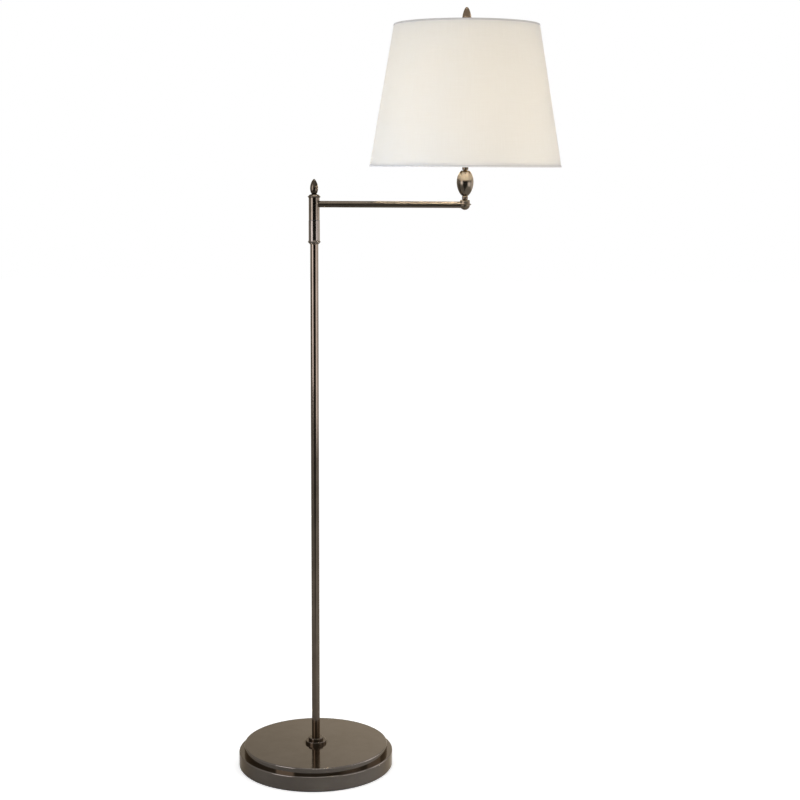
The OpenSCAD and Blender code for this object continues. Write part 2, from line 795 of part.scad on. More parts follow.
// A bent strap: flat in the middle, two bends, and two upright lugs
module harp_saddle() {
    bend_r = 3;
    flat_l = lug_x - saddle_t / 2 - bend_r;
    color(BRASS) difference() {
        union() {
            at_shade_axis(saddle_z0) translate([-flat_l, -saddle_w / 2, 0])
                cube([2 * flat_l, saddle_w, saddle_t]);
            both_sides() {
                translate([flat_l, saddle_w / 2, saddle_z0 + saddle_t + bend_r])
                    rotate([90, 0, 0]) rotate([0, 0, -90]) saddle_bend(bend_r);
                translate([lug_x - saddle_t / 2, -lug_half_w, saddle_z0 + saddle_t + bend_r])
                    cube([saddle_t, 2 * lug_half_w, lug_top_z - saddle_z0 - saddle_t - bend_r]);
            }
        }
        at_shade_axis(saddle_z0 - eps) cylinder(r = tube_r + seat_gap, h = saddle_t + 2 * eps);
    }
}

// A quarter bend of the saddle's sheet about +Z, with inner radius r
module saddle_bend(r) {
    rotate_extrude(angle = 90) translate([r, 0]) square([saddle_t, saddle_w]);
}

module saddle_nut() {
    color(STEEL) at_shade_axis(saddle_z1) difference() {
        hexagon(saddle_nut_af, saddle_nut_h);
        translate([0, 0, -eps]) cylinder(r = tube_r + seat_gap, h = saddle_nut_h + 2 * eps);
    }
}

// Path points [x, z, heading] of an arc about [x, z], from angle a0 to a1, turning with the
// arc: turn is 90 where the angle grows along the path and -90 where it falls
function arc_path(x, z, r, a0, a1, turn, n) =
    [for (i = [0:n]) let (a = a0 + (a1 - a0) * i / n) [x + r * cos(a), z + r * sin(a), a + turn]];

// One leg: straight up, a sweep outwards, and a sweep back to upright
function harp_leg() = concat(
    [[leg_x, leg_z0, 90]],
    arc_path(leg_x + sweep_r, leg_z1, sweep_r, 180, 180 - sweep_angle, -90, 6),
    [for (p = arc_path(harp_reach - sweep_r, shoulder_z, sweep_r, -sweep_angle, 0, 90, 6))
        if (p[2] > 90 - sweep_angle) p]
);

// A round wire swept along a path in the XZ plane
module swept_wire(path, r, sides) {
    rings = len(path);
    polyhedron(
        points = [for (p = path) for (k = [0:sides - 1]) let (a = 360 * k / sides)
            [p[0] - r * cos(a) * sin(p[2]), r * sin(a), p[1] + r * cos(a) * cos(p[2])]],
        faces = concat(
            [[for (k = [0:sides - 1]) k]],
            [for (i = [0:rings - 2]) for (k = [0:sides - 1])
                [i * sides + k, (i + 1) * sides + k,
                    (i + 1) * sides + (k + 1) % sides, i * sides + (k + 1) % sides]],
            [[for (k = [sides - 1:-1:0]) (rings - 1) * sides + k]]
        )
    );
}

// Both legs and the half round crown between them are one bent wire
module harp_wire() {
    leg = harp_leg();
    crown = arc_path(0, harp_top_z - harp_reach, harp_reach, 0, 180, 90, curve_steps);
    far_leg = [for (i = [len(leg) - 1:-1:0]) [-leg[i][0], leg[i][1], 360 - leg[i][2]]];
    color(BRASS) at_shade_axis() swept_wire(concat(leg, crown, far_leg), harp_r, 12);
}

module harp_ferrules() {
    ferrule_t = 0.8;
    color(BRASS) both_sides() translate([ferrule_x, 0, ferrule_z0])
        tube(ferrule_bore_r + ferrule_t, ferrule_bore_r, ferrule_l);
}

// Turned seat on the harp's crown: boss round the wire, flange for the shade, threaded stud
module harp_seat() {
    boss_z0 = harp_top_z - seat_boss_h / 2;
    color(BRASS) difference() {
        at_shade_axis(boss_z0) {
            cylinder(r = seat_boss_r, h = seat_boss_h);
            translate([0, 0, seat_boss_h]) cylinder(r = seat_r, h = seat_t);
            translate([0, 0, seat_boss_h]) cylinder(r = stud_r, h = seat_t + stud_l);
        }
        at_shade_axis(harp_top_z - harp_reach) rotate([90, 0, 0]) rotate_extrude()
            translate([harp_reach, 0]) circle(r = harp_r + seat_gap);
    }
}

// ---- Lamp holder and bulb ---------------------------------------------------------------

module holder_cap() {
    t = holder_t;
    bore_r = tube_r + seat_gap;
    dome_r = 8;
    dome_z = throat_h + dome_r + 1;
    floor_z = throat_h + 2.4;
    color(BRASS) at_shade_axis(holder_z0) rotate_extrude() polygon(concat(
        [[bore_r, 0], [throat_r, 0], [throat_r, throat_h]],
        arc(cap_r - dome_r, dome_z, dome_r, -80, 0, 8),
        [[cap_r, holder_cap_h], [cap_r - t, holder_cap_h]],
        arc(cap_r - dome_r, dome_z, dome_r - t, 0, -80, 8),
        [[throat_r, floor_z], [bore_r, floor_z]]
    ));
}

module holder_shell() {
    bead = 0.6;
    color(BRASS) difference() {
        at_shade_axis(shell_z0) rotate_extrude() difference() {
            union() {
                square([shell_r, holder_z1 - shell_z0]);
                translate([shell_r - bead, holder_z1 - shell_z0 - bead]) circle(r = 2 * bead);
            }
            translate([0, -eps])
                square([shell_r - holder_t, holder_z1 - shell_z0 + 4 * bead]);
        }
        switch_hole();
    }
}

module holder_liner() {
    color(CARD) difference() {
        at_shade_axis(shell_z0) tube(liner_r, liner_r - liner_t, holder_z1 - shell_z0 - 2);
        switch_hole();
    }
}

// A clear hole through the holder's front wall, along -Y, for the switch's shaft
module switch_hole() {
    clearance = 1;
    at_shade_axis(switch_z) rotate([90, 0, 0])
        cylinder(r = switch_shaft_d / 2 + clearance, h = cap_r + eps);
}

// Moulded insulating core: holds the contacts, and the switch's shaft turns in it
module holder_core() {
    bore_y0 = shaft_y0 / 2;
    wire_x = 8;
    wire_bore_r = 1.5;
    wire_depth = 6;
    color(BLACK) difference() {
        at_shade_axis(core_z0) cylinder(r = core_r, h = core_z1 - core_z0);
        at_shade_axis(switch_z) translate([0, -bore_y0, 0]) rotate([90, 0, 0])
            cylinder(d = switch_shaft_d + 2 * run_gap, h = core_r - bore_y0 + eps);
        for (s = [-1, 1]) at_shade_axis(core_z0 - eps) translate([s * wire_x, 0, 0])
            cylinder(r = wire_bore_r, h = wire_depth + eps);
    }
}

module holder_screw_shell() {
    r = core_r - 0.3;
    color(BRASS) at_shade_axis(core_z1) tube(r, r - screw_shell_t, screw_shell_z1 - core_z1);
}

module holder_contact() {
    l = 8;
    w = 5;
    color(BRASS) at_shade_axis(core_z1) translate([-l / 2, -w / 2, 0]) cube([l, w, contact_t]);
}

module bulb_cap() {
    plate_t = 1;
    tip_r = 6;
    pinch_h = 3;
    color(STEEL) at_shade_axis(bulb_cap_z0) rotate_extrude() polygon([
        [0, 0], [tip_r, 0], [bulb_cap_r - plate_t, pinch_h], [bulb_cap_r, pinch_h + plate_t / 2],
        [bulb_cap_r, bulb_cap_z1 - bulb_cap_z0], [glass_neck_r - glass_t, bulb_cap_z1 - bulb_cap_z0],
        [glass_neck_r - glass_t, pinch_h + plate_t], [0, pinch_h + plate_t]
    ]);
}

module bulb_contact() {
    contact_r = 4.6;
    color(STEEL) at_shade_axis(bulb_z0) cylinder(r = contact_r, h = bulb_cap_z0 - bulb_z0);
}

// Half section of the envelope pulled in by inset: a cylinder, a hollow curve and a sphere
module glass_profile(inset) {
    drop = bulb_mid_z - glass_neck_z;
    a = bulb_r;
    n = glass_neck_r;
    // radius of the hollow curve that touches both the neck and the sphere
    hollow = (n * n + drop * drop - a * a) / (2 * (a - n));
    touch = atan2(drop, n + hollow);
    polygon(concat(
        [[0, bulb_cap_z1 - inset * 2], [n - inset, bulb_cap_z1 - inset * 2]],
        arc(n + hollow, glass_neck_z, hollow + inset, 180, 180 - touch, curve_steps / 2),
        arc(0, bulb_mid_z, a - inset, 3 - touch, 90, curve_steps)
    ));
}

module bulb_glass() {
    color(GLASS) at_shade_axis() rotate_extrude() difference() {
        glass_profile(0);
        glass_profile(glass_t);
    }
}

// ---- Switch -----------------------------------------------------------------------------

module switch_shaft() {
    color(BRASS) at_shade_axis(switch_z) translate([0, -shaft_y0, 0]) rotate([90, 0, 0])
        cylinder(d = switch_shaft_d, h = knob_y0 - shaft_y0 + knob_seat);
}

// Fluted key on the shaft's end
module switch_knob() {
    flutes = 12;
    flute_r = 0.9;
    flute_d = 0.5;
    collar_l = 2;
    round_r = 1.2;
    color(BLACK) at_shade_axis(switch_z) translate([0, -knob_y0, 0]) rotate([90, 0, 0]) difference() {
        rotate_extrude() rounded_tier(switch_knob_d / 2, switch_knob_l, round_r);
        translate([0, 0, -eps])
            cylinder(d = switch_shaft_d + 2 * seat_gap, h = knob_seat + eps);
        for (i = [0:flutes - 1]) rotate([0, 0, i * 360 / flutes])
            translate([switch_knob_d / 2 + flute_r - flute_d, 0, collar_l])
                cylinder(r = flute_r, h = switch_knob_l, $fn = 24);
    }
}

// ---- Shade ------------------------------------------------------------------------------

module shade_linen() {
    z0 = shade_z0 + tape_t;
    z1 = shade_z1 - tape_t;
    color(LINEN) at_shade_axis() rotate_extrude() polygon([
        [shade_r(z0) - tape_t - shade_t, z0], [shade_r(z0) - tape_t, z0],
        [shade_r(z1) - tape_t, z1], [shade_r(z1) - tape_t - shade_t, z1]
    ]);
}

// Centre line radius of a wire ring that lies against the linen at height z
function wire_ring_r(z) = shade_r(z) - tape_t - shade_t - ring_r - seat_gap;

module wire_ring(z) {
    at_shade_axis(z) rotate_extrude() translate([wire_ring_r(z), 0]) circle(r = ring_r);
}

module shade_top_ring() {
    color(STEEL) wire_ring(top_ring_z);
}

module shade_low_ring() {
    color(STEEL) wire_ring(low_ring_z);
}

// Hub washer and spokes: each spoke rises from the hub to the upper ring
module shade_spider() {
    spoke_r = ring_r * 0.8;
    x0 = spider_hub_r - 2 * spoke_r;
    x1 = wire_ring_r(top_ring_z) - ring_r + 0.4;
    z0 = seat_z + spider_t / 2;
    run = x1 - x0;
    rise = top_ring_z - z0;
    color(STEEL) at_shade_axis() difference() {
        union() {
            translate([0, 0, seat_z]) cylinder(r = spider_hub_r, h = spider_t);
            for (i = [0:spoke_count - 1]) rotate([0, 0, 90 + i * 360 / spoke_count])
                translate([x0, 0, z0]) rotate([0, atan2(run, rise), 0])
                    cylinder(r = spoke_r, h = norm([run, rise]));
        }
        translate([0, 0, seat_z - eps]) cylinder(r = stud_r + run_gap, h = spider_t + 2 * eps);
        translate([0, 0, seat_z - ring_wire_d]) cylinder(r = spider_hub_r + ring_wire_d, h = ring_wire_d);
    }
}

// Half section of an edge tape folded over the linen's rim; up is 1 at the top, -1 below
module edge_tape(z_rim, up) {
    g = 0.02;
    fold_t = shade_t + 2 * tape_t + g;
    at_shade_axis() rotate_extrude() polygon([
        [shade_r(z_rim), z_rim],
        [shade_r(z_rim - up * tape_h), z_rim - up * tape_h],
        [shade_r(z_rim - up * tape_h) - tape_t, z_rim - up * tape_h],
        [shade_r(z_rim - up * tape_t) - tape_t, z_rim - up * tape_t],
        [shade_r(z_rim - up * tape_t) - tape_t - shade_t - g, z_rim - up * tape_t],
        [shade_r(z_rim - up * tape_fold) - tape_t - shade_t - g, z_rim - up * tape_fold],
        [shade_r(z_rim - up * tape_fold) - fold_t, z_rim - up * tape_fold],
        [shade_r(z_rim) - fold_t, z_rim]
    ]);
}

module shade_top_tape() {
    color(LINEN) edge_tape(shade_z1, 1);
}

module shade_low_tape() {
    color(LINEN) edge_tape(shade_z0, -1);
}

// Finial nut: foot on the spider, waisted stem, lip, and a bullet-shaped head
module shade_finial() {
    r = finial_d / 2;
    foot_r = 8;
    foot_t = 2;
    foot_round = 0.8;
    waist_r = 4.4;
    flare = 0.5;
    lip_r = r + 0.9;
    lip_round = 0.7;
    lip_z = finial_stem_h - 1.2;
    bullet_power = 1.35;
    color(BRONZE) at_shade_axis(finial_z0) difference() {
        rotate_extrude() polygon(concat(
            [[0, 0], [foot_r, 0]],
            arc(foot_r - foot_round, foot_t - foot_round, foot_round, 0, 90, 4),
            [[foot_r - foot_t, 1.3 * foot_t], [waist_r + flare, 2.5 * foot_t], [waist_r, 4 * foot_t]],
            [[waist_r, lip_z - 5.8], [waist_r + flare, lip_z - 3]],
            [[lip_r - lip_round, lip_z - 1]],
            arc(lip_r - lip_round, lip_z, lip_round, -60, 60, 6),
            [for (i = [0:curve_steps - 1]) let (d = finial_h * sin(90 * i / curve_steps))
                [swell(r, d, finial_h, bullet_power, 0.5), finial_stem_h + d]],
            [[0, finial_stem_h + finial_h]]
        ));
        translate([0, 0, -eps]) cylinder(r = stud_r + seat_gap, h = stud_l + eps);
    }
}

felt_pad();
base_weight();
step_weight();
base_cover();
step_cover();
cord_bushing();
base_rod();
base_washer();
split_washer();
base_nut();
foot_collar();
pole_foot_bush();
pole();
lower_sleeve();
swing_spindle();
stop_pin();
thrust_washer();
spindle_nut();
swing_hub();
hub_cap();
pole_finial();
arm_tube();
ball_elbow();
elbow_cap();
neck_spool();
egg_body();
egg_tube();
check_ring();
harp_saddle();
saddle_nut();
harp_wire();
harp_ferrules();
harp_seat();
holder_cap();
holder_shell();
holder_liner();
holder_core();
holder_screw_shell();
holder_contact();
bulb_cap();
bulb_contact();
bulb_glass();
shade_finial();
switch_shaft();
switch_knob();
shade_linen();
shade_top_ring();
shade_low_ring();
shade_spider();
shade_top_tape();
shade_low_tape();
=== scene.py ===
# %% [markdown]
# # A bridge floor lamp with a linen shade
# The lamp stands on a stepped round base. A slim pole carries a hub that swings a side arm, and
# the arm's end holds a turned egg, the lamp holder, a harp and the shade. The metal parts arrive
# finished in shape from the CAD model, so this lesson loads them first, and then gives every
# surface its finish and makes the soft and fine pieces that the CAD model leaves plain.

# %% Load the packed frame
import math

import bmesh
import bpy
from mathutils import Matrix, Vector


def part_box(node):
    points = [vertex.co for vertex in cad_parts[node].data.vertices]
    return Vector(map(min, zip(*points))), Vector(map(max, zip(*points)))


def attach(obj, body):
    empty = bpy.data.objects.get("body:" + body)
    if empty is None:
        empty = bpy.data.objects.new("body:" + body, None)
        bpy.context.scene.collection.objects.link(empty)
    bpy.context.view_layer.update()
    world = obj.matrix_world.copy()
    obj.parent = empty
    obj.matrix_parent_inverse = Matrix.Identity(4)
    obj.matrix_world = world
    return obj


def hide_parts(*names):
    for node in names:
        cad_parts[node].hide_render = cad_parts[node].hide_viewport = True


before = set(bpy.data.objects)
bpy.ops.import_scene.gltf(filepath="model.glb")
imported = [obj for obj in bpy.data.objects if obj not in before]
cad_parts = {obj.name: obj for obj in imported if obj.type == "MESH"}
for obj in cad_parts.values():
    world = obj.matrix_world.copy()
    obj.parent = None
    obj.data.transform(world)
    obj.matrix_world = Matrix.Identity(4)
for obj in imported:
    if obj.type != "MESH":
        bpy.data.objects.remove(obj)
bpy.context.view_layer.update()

# %% [markdown]
# ## The camera
# A tall thin lamp is shown from well back with a longer lens, so that the pole stays straight and
# the base doesn't swell. A constraint could aim the camera at the lamp, but plain angles also hold
# the small roll. The lens was worked out in pixels of an image 800 pixels wide, and Blender wants
# it in millimetres on a 36 mm sensor. The camera looks a little down, because it stands higher
# than the middle of the lamp.

# %% Camera
IMAGE_PX = 800
FOCAL_PX = 1590.8
SENSOR_MM = 36.0
CAMERA_AT = (0.1505, -2.7635, 1.0771)
PITCH_DOWN = math.radians(8.4375)
ROLL = math.radians(0.2613)
YAW = math.radians(0.018)
FARTHEST_SEEN = 60

camera_data = bpy.data.cameras.new("studio_camera")
camera_data.sensor_width = SENSOR_MM
camera_data.lens = FOCAL_PX / IMAGE_PX * SENSOR_MM
camera_data.clip_end = FARTHEST_SEEN
camera = bpy.data.objects.new("studio_camera", camera_data)
bpy.context.scene.collection.objects.link(camera)
camera.location = CAMERA_AT
camera.rotation_mode = "YXZ"
camera.rotation_euler = (math.radians(90) - PITCH_DOWN, 0, YAW)
camera.rotation_euler.rotate_axis("Z", ROLL)
bpy.context.scene.camera = camera
bpy.context.scene.view_settings.view_transform = "Standard"
print(f"lens {camera_data.lens:.2f} mm, {math.degrees(PITCH_DOWN):.2f} degrees down")

# %% [markdown]
# ## Shader maths that reads like a sum
# A finish is a graph of nodes, and a long list of links is hard to read. Here one small class
# stands for a node's output, a wire. Adding, multiplying or dividing wires adds the Math node that
# does it, so a formula can be written as it is on paper, also with the number first, as in
# 1 - wire. Everything else goes through one method that takes a node's type, its settings and the
# values of its sockets.

# %% Wires
def operator_pair(operation):
    """The methods for wire and other, and for other and wire, that add one Math node."""

    def plain(self, other):
        return self.finish.math(operation, self, other)

    def reflected(self, other):
        return self.finish.math(operation, other, self)

    return plain, reflected


class Wire:
    """A node's output; sums and products of wires become Math nodes."""

    def __init__(self, finish, socket):
        self.finish, self.socket = finish, socket

    __add__, __radd__ = operator_pair("ADD")
    __sub__, __rsub__ = operator_pair("SUBTRACT")
    __mul__, __rmul__ = operator_pair("MULTIPLY")
    __truediv__, __rtruediv__ = operator_pair("DIVIDE")
    __pow__, __rpow__ = operator_pair("POWER")

    def math(self, operation, *others):
        """Any other Math node, with this wire as its first value."""
        return self.finish.math(operation, self, *others)

    def between(self, low, high):
        """0 below low, 1 above high, and smooth in between."""
        return self.finish.node(
            "ShaderNodeMapRange", {"interpolation_type": "SMOOTHSTEP"},
            {"Value": self, "From Min": low, "From Max": high},
        )


print("operators of a wire:", [name for name in vars(Wire) if name.startswith("__r")])

# %% [markdown]
# ## A finish while it is made
# A material and a world are both a tree of nodes that ends in an output. This class keeps the
# tree and adds the few things that every recipe asks for: a blend of two colours, the place of a
# point on the piece, the kind of ray that arrives, a noise and a bump. Places are in metres and
# not in shares of the piece, so a pattern has the same size on a small piece and a large one.

# %% Finishes
MIX_FIRST, MIX_SECOND, MIX_RESULT = 6, 7, 2  # sockets of a Mix node that mixes colours


class Finish:
    """A material or world while its nodes are being made."""

    def __init__(self, owner):
        self.owner = owner
        owner.use_nodes = True
        self.tree = owner.node_tree
        self.tree.nodes.clear()

    def node(self, kind, settings=None, values=None, out=0):
        """A node with its settings, and then the values or wires of its sockets."""
        made = self.tree.nodes.new(kind)
        for key, value in (settings or {}).items():
            setattr(made, key, value)
        for key, value in (values or {}).items():
            socket = made.inputs[key]
            if isinstance(value, Wire):
                self.tree.links.new(value.socket, socket)
            elif socket.type == "RGBA":
                socket.default_value = (*value, 1)
            else:
                socket.default_value = value
        return Wire(self, made.outputs[out])

    def math(self, operation, *values):
        return self.node("ShaderNodeMath", {"operation": operation}, dict(enumerate(values)))

    def blend(self, share, first, second):
        """A colour between first and second."""
        return self.node("ShaderNodeMix", {"data_type": "RGBA"},
                         {"Factor": share, MIX_FIRST: first, MIX_SECOND: second}, out=MIX_RESULT)

    def vector(self, x, y, z):
        return self.node("ShaderNodeCombineXYZ", {}, {"X": x, "Y": y, "Z": z})

    def split(self, vector):
        """The x, y and z of a vector."""
        apart = self.node("ShaderNodeSeparateXYZ", {}, {"Vector": vector}).socket.node
        return [Wire(self, socket) for socket in apart.outputs]

    def place(self):
        """A point of the piece, in metres at rest, and its x, y and z."""
        spot = self.node("ShaderNodeTexCoord", out="Object")
        return spot, self.split(spot)

    def rays(self, *kinds):
        """For each kind, 1 where such a ray arrives and 0 where another does."""
        paths = self.node("ShaderNodeLightPath").socket.node
        return [Wire(self, paths.outputs[f"Is {kind} Ray"]) for kind in kinds]

    def noise(self, spot, scale, detail=3.0, roughness=0.5):
        return self.node("ShaderNodeTexNoise", {},
                         {"Vector": spot, "Scale": scale, "Detail": detail, "Roughness": roughness})

    def bump(self, height, strength, distance, under=None):
        """A normal from a height; under is a finer normal that it is added to."""
        values = {"Height": height, "Strength": strength, "Distance": distance}
        if under:
            values["Normal"] = under
        return self.node("ShaderNodeBump", {}, values)

    def show(self, shader):
        """Shows the shader, and returns the finished material or world."""
        is_world = isinstance(self.owner, bpy.types.World)
        output = self.tree.nodes.new("ShaderNodeOutputWorld" if is_world else "ShaderNodeOutputMaterial")
        self.tree.links.new(shader.socket, output.inputs["Surface"])
        return self.owner


def new_finish(name):
    return Finish(bpy.data.materials.new(name))


print("a finish makes:", [name for name in vars(Finish) if not name.startswith("__")])

# %% [markdown]
# ## The studio
# Polished metal shows the room around it more than its own colour, so the room is part of the
# finish. Real walls and flags could be built, but a world that answers each kind of ray by itself
# lets the lamp's metal and its shade be lit apart. The camera sees white, matt surfaces get an
# even grey light, and metal sees a white room with a dark gap in front, low down, where the
# camera stands. That gap is the dark line down the upper tubes. The wall behind is what the
# base's flat top mirrors: it is lighter on the right and falls off with height.

# %% Room
ROOM_LEVEL = 0.61
WALL_LEVEL = 0.95
GAP_MIDDLE = math.radians(8)
GAP_EDGE, GAP_CORE = (math.cos(math.radians(degrees)) for degrees in (41, 28))
# Each pair is a stretch of a ray's direction over which a change runs.
GAP_FADES_UP = (0.06, 0.18)
TO_THE_REAR, TO_THE_RIGHT, UPWARDS = (0.0, 0.4), (-0.13, 0.03), (0.345, 0.38)
RIGHT_LIGHTER, HIGH_DARKER = 0.50, 0.30
NEVER_ZERO = 0.0001

world = bpy.data.worlds.new("studio_room")
bpy.context.scene.world = world
room = Finish(world)
dx, dy, dz = room.split(room.node("ShaderNodeTexCoord", out="Generated"))
level_length = (dx * dx + dy * dy + NEVER_ZERO) ** 0.5
towards_gap = (dx * math.sin(GAP_MIDDLE) - dy * math.cos(GAP_MIDDLE)) / level_length
in_gap = towards_gap.between(GAP_EDGE, GAP_CORE) * (1 - dz.between(*GAP_FADES_UP))
behind = dy.between(*TO_THE_REAR)
behind_right = dx.between(*TO_THE_RIGHT) * behind
behind_high = dz.between(*UPWARDS) * behind
mirror_level = ((1 - in_gap) * (WALL_LEVEL + behind_right * RIGHT_LIGHTER)
                * (1 - behind_high * HIGH_DARKER))
camera_ray, glossy_ray, through_ray = room.rays("Camera", "Glossy", "Transmission")
seen = camera_ray.math("MAXIMUM", through_ray)
level = seen + (1 - seen) * (glossy_ray * mirror_level + (1 - glossy_ray) * ROOM_LEVEL)
room.show(room.node("ShaderNodeBackground", {}, {"Color": (1, 1, 1), "Strength": level}))
print("room level for matt surfaces:", ROOM_LEVEL)

# %% [markdown]
# ## The floor
# The floor is a plain white sheet that runs out of view. It has to look as white as the wall and
# still keep the lamp's shadow. A white material under plain light would turn grey here, so a part
# of the sheet's light is its own: only the rest darkens where the lamp shades it. The sheet lies
# a hair below the felt, so that the two never share a plane.

# %% Floor
FLOOR_SIZE = 24.0
FLOOR_GAP = 0.0004

floor_mesh = bpy.data.meshes.new("studio_floor")
half = FLOOR_SIZE / 2
floor_mesh.from_pydata(
    [(half * side, half * end, -FLOOR_GAP) for side, end in ((-1, -1), (1, -1), (1, 1), (-1, 1))],
    [], [(0, 1, 2, 3)],
)
floor = bpy.data.objects.new("studio_floor", floor_mesh)
bpy.context.scene.collection.objects.link(floor)
print(f"floor {FLOOR_SIZE:.0f} m wide")

# %% [markdown]
# ## The floor in the metal
# The polished pole mirrors the floor too, from its foot to its hub, so the dark place where the
# camera stands goes on there. A dark cloth on the floor could make it, but the camera would see
# the cloth as well. So the finish itself is darker for rays that come from metal, in a wedge that
# starts a step in front of the lamp and widens with distance. On the right, and close to the base,
# the floor is lighter in the metal.

# %% Floor finish
FLOOR_WHITE = (0.86, 0.86, 0.86)
FLOOR_GLOW = 0.54
MIRRORED_GLOW, RIGHT_GLOW, CLOSE_GLOW = 0.26, 0.30, 0.20
WEDGE_TIP_Y = 0.02
# Each pair is a stretch of the floor, in metres, over which a change runs.
RIGHT_OF_POLE, ROUND_BASE, RIGHT_OF_BASE = (0.0, 0.25), (0.14, 0.22), (-0.06, 0.10)
WEDGE_STARTS, WEDGE_WIDENS = (-1.1, -0.6), (-2.4, -1.2)
# The wedge's edges are slopes: metres to the side for each metre in front.
LEFT_EDGE, LEFT_WIDENS = 0.12, 0.38
RIGHT_EDGE, RIGHT_WIDENS = 0.22, 0.48
EDGE_SOFT = (-0.15, 0.15)
WEDGE_DARKER = 0.86
MATT_DARKER, WEDGE_MATT_DARKER = 0.45, 0.45

paper = new_finish("white_paper")
camera_ray, glossy_ray, through_ray = paper.rays("Camera", "Glossy", "Transmission")
_, (x, y, _) = paper.place()
aside = x / (WEDGE_TIP_Y - y)
widened = 1 - y.between(*WEDGE_WIDENS)
past_left = aside + LEFT_EDGE + widened * LEFT_WIDENS
past_right = aside - RIGHT_EDGE - widened * RIGHT_WIDENS
wedge = ((1 - y.between(*WEDGE_STARTS)) * past_left.between(*EDGE_SOFT)
         * (1 - past_right.between(*EDGE_SOFT)))
close = (1 - ((x * x + y * y) ** 0.5).between(*ROUND_BASE)) * x.between(*RIGHT_OF_BASE)
mirrored = ((MIRRORED_GLOW + x.between(*RIGHT_OF_POLE) * RIGHT_GLOW + close * CLOSE_GLOW)
            * (1 - wedge * WEDGE_DARKER))
darker = glossy_ray * (MATT_DARKER + wedge * WEDGE_MATT_DARKER)
matt = paper.node("ShaderNodeBsdfDiffuse", {}, {"Color": paper.blend(darker, FLOOR_WHITE, (0, 0, 0))})
seen_glow = camera_ray.math("MAXIMUM", through_ray) * FLOOR_GLOW
glow = paper.node("ShaderNodeEmission", {}, {"Color": seen_glow + glossy_ray * mirrored, "Strength": 1.0})
floor.data.materials.append(paper.show(paper.node("ShaderNodeAddShader", {}, {0: matt, 1: glow})))
print("floor finish:", paper.owner.name)

# %% [markdown]
# ## The softboxes
# A softbox is a lit rectangle of cloth. On polished tubes it shows as one long clean streak, and
# on cloth it gives a soft shadow. One set of lights can't be tuned for both, so here each kind has
# its own: four streak lights that only metal sees, tall on the left, low on the right, one at the
# side and one above, and three soft lights for the shade that metal doesn't see.

# %% Softboxes
COOL_WHITE, WARM_WHITE, SKY_WHITE = (1.0, 0.985, 1.08), (1.0, 0.97, 0.94), (0.82, 1.0, 1.25)
PLAIN_WHITE = (1, 1, 1)


def softbox(name, at, aim, width, height, watts, tint):
    data = bpy.data.lights.new(name, "AREA")
    data.shape = "RECTANGLE"
    data.size, data.size_y, data.energy, data.color = width, height, watts, tint
    lamp = bpy.data.objects.new(name, data)
    bpy.context.scene.collection.objects.link(lamp)
    lamp.location = at
    lamp.rotation_euler = (Vector(aim) - Vector(at)).to_track_quat("-Z", "Y").to_euler()
    return lamp


for streak in (
    softbox("streak_left", (-1.90, -1.77, 1.20), (0, 0, 1.2), 1.4, 1.75, 38, COOL_WHITE),
    softbox("streak_right", (2.17, -1.25, 0.56), (0, 0, 0.56), 1.6, 0.80, 13.5, COOL_WHITE),
    softbox("streak_side", (2.35, 0.85, 1.10), (0, 0, 1.1), 1.6, 1.85, 18, COOL_WHITE),
    softbox("streak_top", (0.2, -0.3, 3.2), (0.1, 0, 1.0), 1.6, 1.2, 14, PLAIN_WHITE),
):
    streak.visible_diffuse = False
    streak.visible_transmission = False
for soft in (
    softbox("key_cloth", (-1.40, -0.60, 0.45), (0.26, 0, 1.15), 0.9, 0.9, 5.6, PLAIN_WHITE),
    softbox("low_left", (-0.30, -0.40, 0.80), (0.12, -0.05, 1.12), 0.35, 0.2, 1.7, SKY_WHITE),
    softbox("low_right", (0.75, -0.75, 0.80), (0.32, 0, 1.12), 0.4, 0.3, 3.1, WARM_WHITE),
):
    soft.visible_glossy = False
    soft.visible_camera = False

# %% [markdown]
# ## Dark polished bronze
# The lamp's metal is brass with a dark chemical colour, polished through and lacquered. It has
# three scales of change: slow clouds of lighter and darker patina, fine lines left by the lathe
# or the drawing die, and the lacquer's faint unevenness. A painted texture would show its pixels
# close up, so noise makes them. One recipe serves all the pieces, and only the direction of the
# lines differs, so a function takes that direction: rings about an upright axis for turned parts,
# lines along the length for drawn tubes. Round some corners and up the pole's foot the colour is
# painted darker: a painted shade, which stands in for the shade and dark reflections there.

# %% Bronze recipe
BRONZE_DARK = (0.088, 0.075, 0.063)
BRONZE_LIGHT = (0.138, 0.118, 0.101)
BRONZE_PAINTED_SHADE = (0.020, 0.015, 0.010)
BRONZE_GLINT = (0.74, 0.67, 0.58)
LATHE_LINES, DRAWN_LINES, DRAWN_RUN = 2600, 1500, 14
CLOUD_SCALE, SMUDGE_SCALE = 14.0, 55.0
PATINA_RANGE = (0.32, 0.68)
PATINA_DULLS, LINES_DULL = 0.04, 0.05
LINE_REACH = 0.00004
STEEPEST = 0.98


